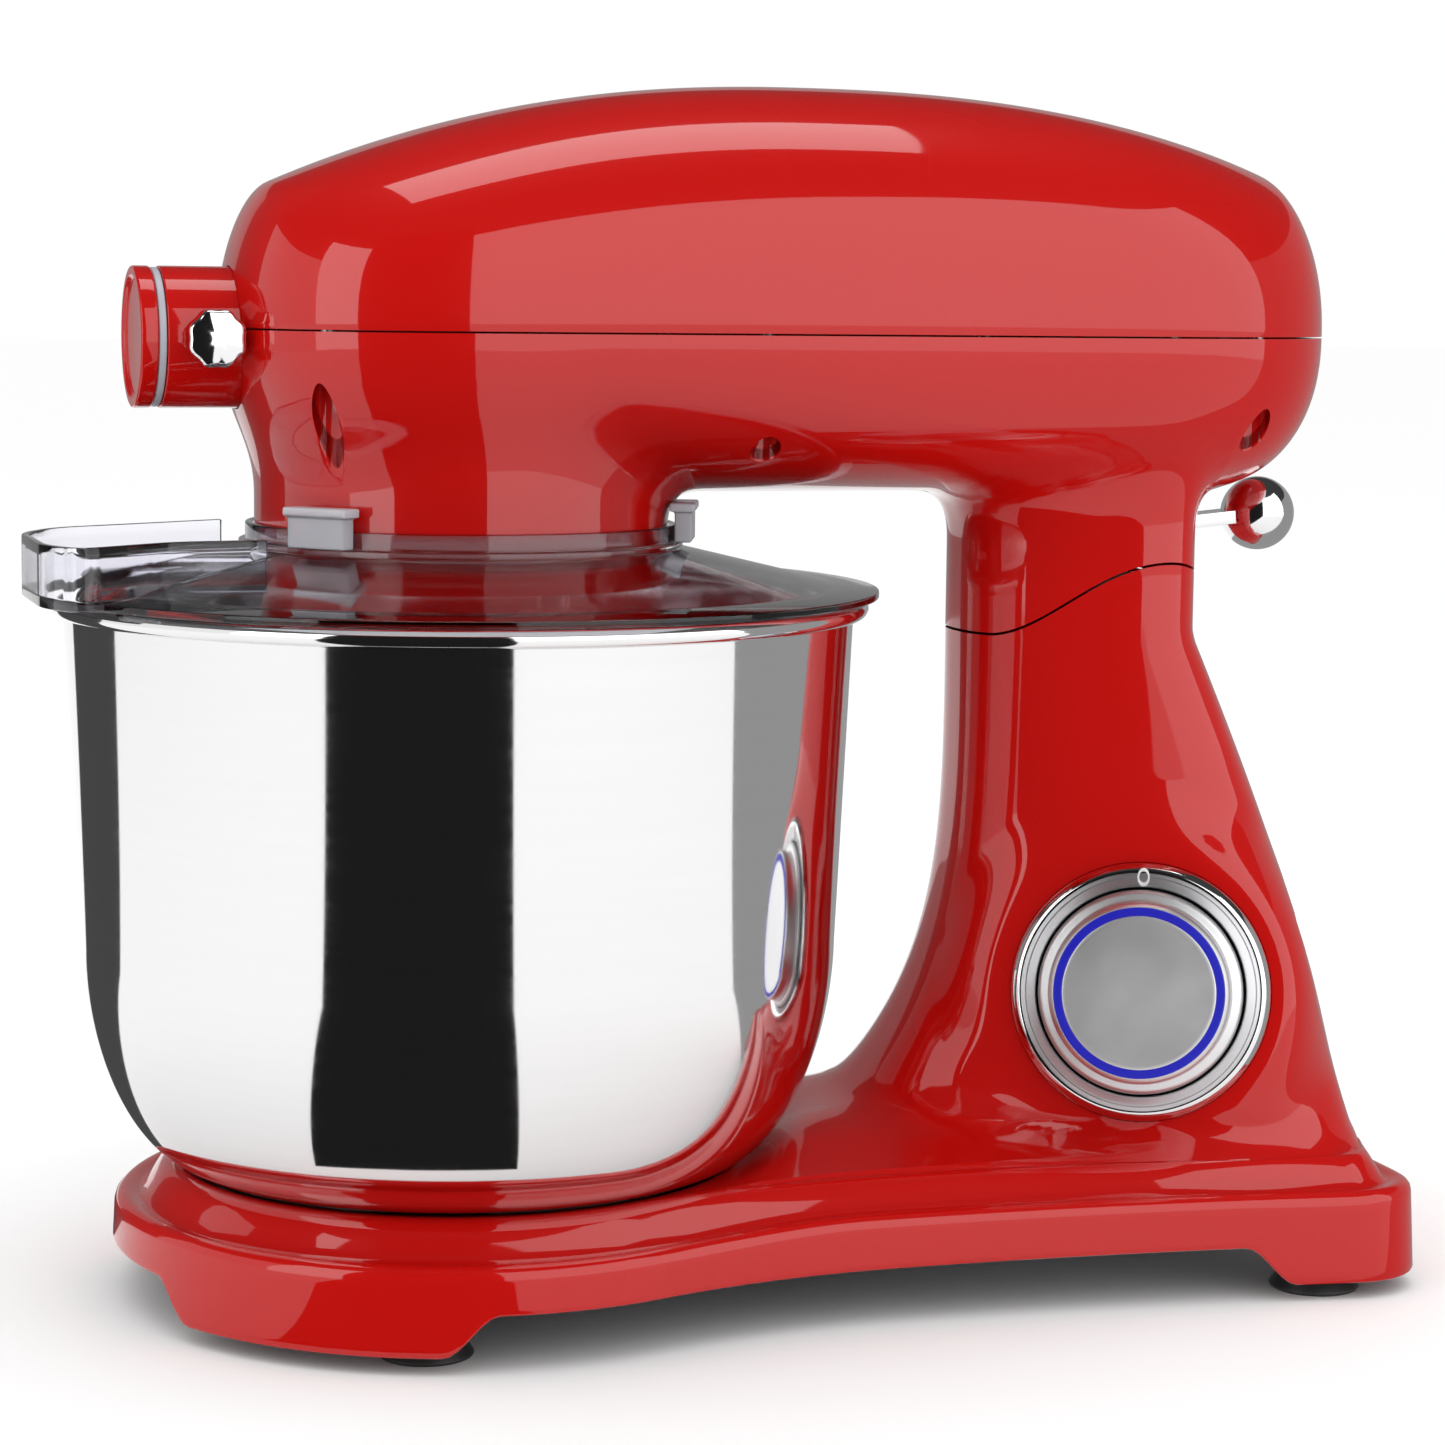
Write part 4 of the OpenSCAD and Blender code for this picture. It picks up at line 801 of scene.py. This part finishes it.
def makeDial():
    knobR, reach, back = dial["knobR"], dial["reach"], dial["back"]
    bezel = turned("dial_ring", [(knobR + 0.8, back), (bezelR, back), (bezelR, 2), (bezelR - 1.6, 4.4),
                                 (bezelR - 3, 5), (knobR + 1.4, 2.6), (knobR + 0.8, 2)], 160, 0.9, dialPlace)
    finished(bezel, chrome, "stand", ["dial_bezel"])
    lightR, lightW = knobR - dial["lightInset"], dial["lightW"]
    knob = turned("knob_body", [(0, -5), (knobR, -5), (knobR, 6.5), (knobR - 1, 7.6), (knobR - 3.4, 8.2),
                                (knobR - 4, reach - 1.4), (knobR - 5.2, reach - 0.2), (lightR, reach - 0.2),
                                (lightR, reach - 2), (0, reach - 2)], 160, 0.7, dialPlace)
    finished(knob, knobMetal, "knob", ["speed_knob"])
    capR = lightR - lightW
    light = turned("light_ring", [(capR, reach - 2), (lightR, reach - 2), (lightR, reach), (capR, reach)],
                   128, 0.3, dialPlace)
    finished(light, blueLight, "knob", ["knob_light_ring"])
    cap = turned("knob_face", [(0, reach - 2), (capR, reach - 2), (capR, reach + 0.1), (capR - 1, reach + 0.2),
                               (0, reach - 0.1)], 128, 0.3, dialPlace)
    finished(cap, knobMetal, "knob", ["knob_cap"])
    digit = turned("dial_zero", [(1.25, 0), (1.75, 0), (1.75, 0.7), (1.25, 0.7)], 48, 0.1, Matrix.Identity(4))
    digit.data.transform(dialPlace @ Matrix.Translation((-(bezelR - 4.3) * mm, 0, 3.9 * mm))
                         @ Matrix.Rotation(math.radians(dial["digitTilt"]), 4, "Y")
                         @ Matrix.Diagonal((dial["digitTall"], dial["digitWide"], 1, 1)))
    finished(digit, digitInk, "stand")


makeDial()

hub = dict(reach=18.5, wall=3.2, length=30.5, clampBack=6, clampOut=2.6, stemR=3, gripR=8.5, flutes=8,
           fluteDepth=0.3)
gripLevels = ((0.0, 0.0), (0.55, 0.0), (0.93, 0.0), (1.0, 0.5), (1.0, 5.6), (0.985, 6.3), (0.95, 6.8),
              (0.9, 7.05), (0.75, 7.4), (0.5, 7.75), (0.25, 7.95), (0.0, 8.0))  # share of the radius, and height


def makeHub():
    front, bore, length = head["front"] - hub["reach"], hubR - hub["wall"], hub["length"]
    barrel = turned("hub_tube", [(bore, 0), (hubR, 0), (hubR, length), (bore, length)], 128, 0.6, turnX(front))
    clampX = head["front"] - hub["clampBack"]
    sideways = Matrix.Rotation(math.pi / 2, 4, "X")
    cut(barrel, rod(0, 0, 0, hub["stemR"] + 0.05, 40, at(clampX, 0, hubZ) @ sideways, steps=48))
    finished(barrel, redPaint, "head", ["hub_barrel"])
    section = [(hubR - 5.2, 0), (hubR - 0.4, 0), (hubR - 0.4, 2.2), (hubR - 5.2, 2.2)]
    seal = turned("hub_ring", section, 128, 0.6, turnX(front - 2.4))
    finished(seal, silicone, "hub_cap", ["hub_seal"])
    section = [(0, 1.1), (hubR - 3.4, 1.1), (hubR - 2.6, 0), (hubR, 0), (hubR, 5), (hubR - 5.3, 5),
               (hubR - 5.3, 14), (0, 14)]
    cap = turned("hub_cover", section, 128, 0.8, turnX(front - 7.5))
    finished(cap, redPaint, "hub_cap", ["hub_cap"])
    place = at(clampX, -(hubR + hub["clampOut"]), hubZ) @ sideways
    a = np.linspace(0, 2 * math.pi, 129)
    edge = hub["gripR"] - hub["fluteDepth"] * (1 + np.cos(hub["flutes"] * a))
    points = np.array([[[s * r * math.cos(t), s * r * math.sin(t), z] for r, t in zip(edge, a)]
                       for s, z in gripLevels])
    knob = pulledGrid("clamp_grip", points)
    knob.data.vertices.foreach_set("co", (points.reshape(-1, 3) * mm).ravel())
    knob.data.update()
    tidied(knob)
    knob.data.transform(place)
    stemLength = hub["clampOut"] + hub["wall"]
    inward = Matrix.Translation((0, 0, -(stemLength - 0.4) * mm))
    stem = rod(0, 0, 0, hub["stemR"], stemLength + 0.2, place @ inward, steps=48)
    joined(knob, stem)
    finished(knob, chrome, "clamp_knob", ["hub_clamp_knob"])


lever = dict(pivot=(216, 0, 224.5), droop=-5.4, ballR=11.5, ballOut=41)


def makeLever():
    place = at(*lever["pivot"]) @ Matrix.Rotation(math.radians(lever["droop"]), 4, "Y")
    r = lever["ballR"]
    section = [(r * math.cos(t), r * math.sin(t)) for t in np.linspace(-math.pi / 2, math.pi / 2, 40)]
    section[0] = (0, -r)
    section[-1] = (0, r)
    ball = turned("lever_knob", section, 96, 0, place @ Matrix.Translation((lever["ballOut"] * mm, 0, 0)))
    finished(ball, chrome, "lever", ["lever_ball"])


feetSizes = dict(stem=9.2, r=13.6, frontTurn=110, frontShare=0.78, rearInset=33, sideInset=19)


def makeFeet():
    stem, r = feetSizes["stem"], feetSizes["r"]
    section = [(r - 6, 0), (r - 0.6, 0), (r, 0.8), (r - 1.2, 2.6), (stem + 1, 6.2), (stem, 7.4), (stem, 16.9),
               (stem - 3.2, 16.9), (stem - 3.2, 22.4), (0, 22.4), (0, 2.2), (r - 9, 1.6)]
    turn = math.radians(feetSizes["frontTurn"])
    front = np.array([math.cos(turn), math.sin(turn)]) * feetSizes["frontShare"] * base["frontR"]
    rear = (base["rear"] - feetSizes["rearInset"], base["width"] / 2 - feetSizes["sideInset"])
    feet = [turned("foot", section, 96, 0.6, at(x, s * y, 0)) for x, y in (front, rear) for s in (-1, 1)]
    obj = joined(*feet)
    obj.name = "rubber_feet"
    finished(obj, blackRubber, "stand", ["suction_feet"])


def bevelledCopy(node, name, width, material, body):
    # a carried part with its sharp edges broken
    obj = bpy.data.objects.new(name, nodes[node].data.copy())
    bpy.context.collection.objects.link(obj)
    tidied(obj, turnOut=False)
    bpy.ops.object.mode_set(mode="EDIT")
    bpy.ops.mesh.select_all(action="SELECT")
    bpy.ops.mesh.dissolve_limited(angle_limit=math.radians(0.5))
    bpy.ops.object.mode_set(mode="OBJECT")
    applied(obj, "BEVEL", width=width * mm, segments=3, limit_method="ANGLE", angle_limit=math.radians(35))
    return finished(obj, material, body, [node], 40)


makeHub()
makeLever()
makeFeet()
bevelledCopy("guard_clips", "clip_blocks", 0.7, milkClip, "head")
bevelledCopy("flat_beater", "beater_paddle", 1.3, beaterMetal, "beater")
bevelledCopy("release_lever", "lever_bar", 0.5, chrome, "lever")
print("small parts made")

carried = {  # the parts kept from the frame as they are, by their finish
    blackPlastic: ["base_plate", "bowl_seat", "speed_switch", "cooling_fan", "large_pulley"],
    steel: ["base_screws", "head_screws", "hinge_bracket", "latch_keeper", "ring_gear", "planet_pinion",
            "layshaft_pinion", "motor_pulley", "lever_mount", "lever_spring"],
    brightPin: ["hinge_pin", "rotor_shaft", "layshaft", "central_shaft", "beater_shaft", "beater_pin",
                "motor_bolts"],
    castMetal: ["gearbox_frame", "gearbox_lid", "hinge_arm", "motor_brackets", "planet_carrier"],
    bronze: ["shaft_bearings"], copper: ["motor_stator", "armature", "commutator"],
    carbon: ["carbon_brushes", "drive_belt"], green: ["control_board"], blackRubber: ["cord_grommet"],
    nylon: ["drive_gear"], bowlSteel: ["bowl_foot"],
}
for material, names in carried.items():
    for name in names:
        mesh = nodes[name].data
        if not mesh.materials:
            mesh.materials.append(material)
        for k in range(len(mesh.materials)):
            mesh.materials[k] = material
print("carried parts finished")


def emissive(name, strength):  # a plain white glow
    material = bpy.data.materials.new(name)
    material.use_nodes = True
    tree = material.node_tree
    tree.nodes.clear()
    glow, end = tree.nodes.new("ShaderNodeEmission"), tree.nodes.new("ShaderNodeOutputMaterial")
    glow.inputs["Color"].default_value = (1, 1, 1, 1)
    glow.inputs["Strength"].default_value = strength
    tree.links.new(glow.outputs[0], end.inputs["Surface"])
    return material


def card(name, points, strength):  # a glowing sheet that only reflections show
    obj = pulledGrid(name, np.array(points, float))
    obj.data.materials.clear()
    obj.data.materials.append(emissive(name + "Glow", strength))
    obj.visible_camera = False
    obj.visible_diffuse = False
    obj.visible_shadow = False
    obj.visible_transmission = False
    return obj


def arcCard(name, azimuths, heights, strength, radius=2200):
    # an upright curved card round the bowl's axis
    angles = np.radians(np.linspace(azimuths[0], azimuths[1], 24))
    card(name, [[[radius * math.cos(a), radius * math.sin(a), z] for a in angles] for z in heights], strength)


def floorCard(name, azimuths, reach, strength):  # a strip of floor as the bowl and the paint reflect it
    angles = np.radians(np.linspace(azimuths[0], azimuths[1], 24))
    card(name, [[[r * math.cos(a), r * math.sin(a), 0.6] for a in angles] for r in reach], strength)


studio = dict(keyStrength=2.0, sideStrength=1.0, stripStrength=2.8, topStrength=3.2, darkCentre=0.013,
              darkLeft=0.068, farSide=0.34, floorColour=(0.985, 0.985, 0.985), glossyWorld=0.05)
arcCard("keyCard", (-89.4, -22), (-300, 2700), studio["keyStrength"])
arcCard("centreDark", (-140, -89.4), (-300, 3200), studio["darkCentre"])
arcCard("leftCard", (143.8, 194), (-300, 1500), studio["sideStrength"])
arcCard("leftStrip", (194, 220), (-300, 2300), studio["stripStrength"])
arcCard("leftDark", (111.5, 143.8), (-300, 3200), studio["darkLeft"])
arcCard("farCard", (-22, 111.5), (-300, 1200), studio["farSide"])
floorCard("centreDarkFloor", (-140, -89.4), (118, 2200), studio["darkCentre"])
floorCard("farFloor", (-22, 60), (118, 2200), studio["farSide"])
floorCard("leftDarkFloor", (111.5, 143.8), (118, 2200), studio["darkLeft"])
card("topCard", [[[x, y, 2300] for x in (-500, 900)] for y in (-250, 600)], studio["topStrength"])

deselect()
bpy.ops.mesh.primitive_plane_add(size=40)
floor = bpy.context.object
floor.name = "floor"
floor.data.materials.append(finish("floorPaper", studio["floorColour"], (0.85, 0.95), 0, 0.004,
                                   Specular_IOR_Level=0.0))


def softLight(name, position, aim, size, power):
    data = bpy.data.lights.new(name, "AREA")
    data.shape = "RECTANGLE"
    data.size, data.size_y = size
    data.energy = power
    obj = bpy.data.objects.new(name, data)
    bpy.context.collection.objects.link(obj)
    obj.location = position
    obj.rotation_euler = (Vector(aim) - Vector(position)).to_track_quat("-Z", "Y").to_euler()
    obj.visible_glossy = False
    obj.visible_camera = False
    return obj


softLight("overheadSoft", (0.0, -0.3, 2.2), (0, 0, 0.1), (2.6, 2.2), 10)
softLight("frontSoft", (0.7, -2.1, 1.1), (0, 0, 0.2), (1.8, 1.8), 4)
softLight("leftSoft", (-2.1, -0.6, 1.0), (0, 0, 0.2), (1.4, 1.6), 2)

world = bpy.data.worlds.new("studioWorld")
bpy.context.scene.world = world
world.use_nodes = True
tree = world.node_tree
back = tree.nodes["Background"]
rays = tree.nodes.new("ShaderNodeLightPath")
glossyCut = tree.nodes.new("ShaderNodeMath")  # the white world is dimmer in reflections
glossyCut.operation = "MULTIPLY_ADD"
glossyCut.inputs[1].default_value = studio["glossyWorld"] - 1
glossyCut.inputs[2].default_value = 1.0
tree.links.new(rays.outputs["Is Glossy Ray"], glossyCut.inputs[0])
tree.links.new(glossyCut.outputs[0], back.inputs["Strength"])
back.inputs["Color"].default_value = (1, 1, 1, 1)
bpy.context.scene.view_settings.view_transform = "Standard"
bpy.context.scene.view_settings.look = "None"
print("studio made")

shot = dict(lens=91.335, azimuth=17.51, pitch=6.69, roll=0.64, position=[-250.25, -1050.43, 295.37])
cameraData = bpy.data.cameras.new("camera")
cameraData.sensor_width = 36
cameraData.lens = shot["lens"]
camera = bpy.data.objects.new("camera", cameraData)
bpy.context.collection.objects.link(camera)
azimuth, pitch, roll = (math.radians(shot[name]) for name in ("azimuth", "pitch", "roll"))
forward = Vector((math.sin(azimuth) * math.cos(pitch), math.cos(azimuth) * math.cos(pitch),
                  -math.sin(pitch)))
right = Vector((math.cos(azimuth), -math.sin(azimuth), 0))
up = right.cross(forward)
rightRolled = right * math.cos(roll) + up * math.sin(roll)
upRolled = up * math.cos(roll) - right * math.sin(roll)
place = Matrix((rightRolled, upRolled, -forward)).transposed().to_4x4()
place.translation = Vector(toRow(shot["position"]))
camera.matrix_world = place
bpy.context.scene.camera = camera

deselect()
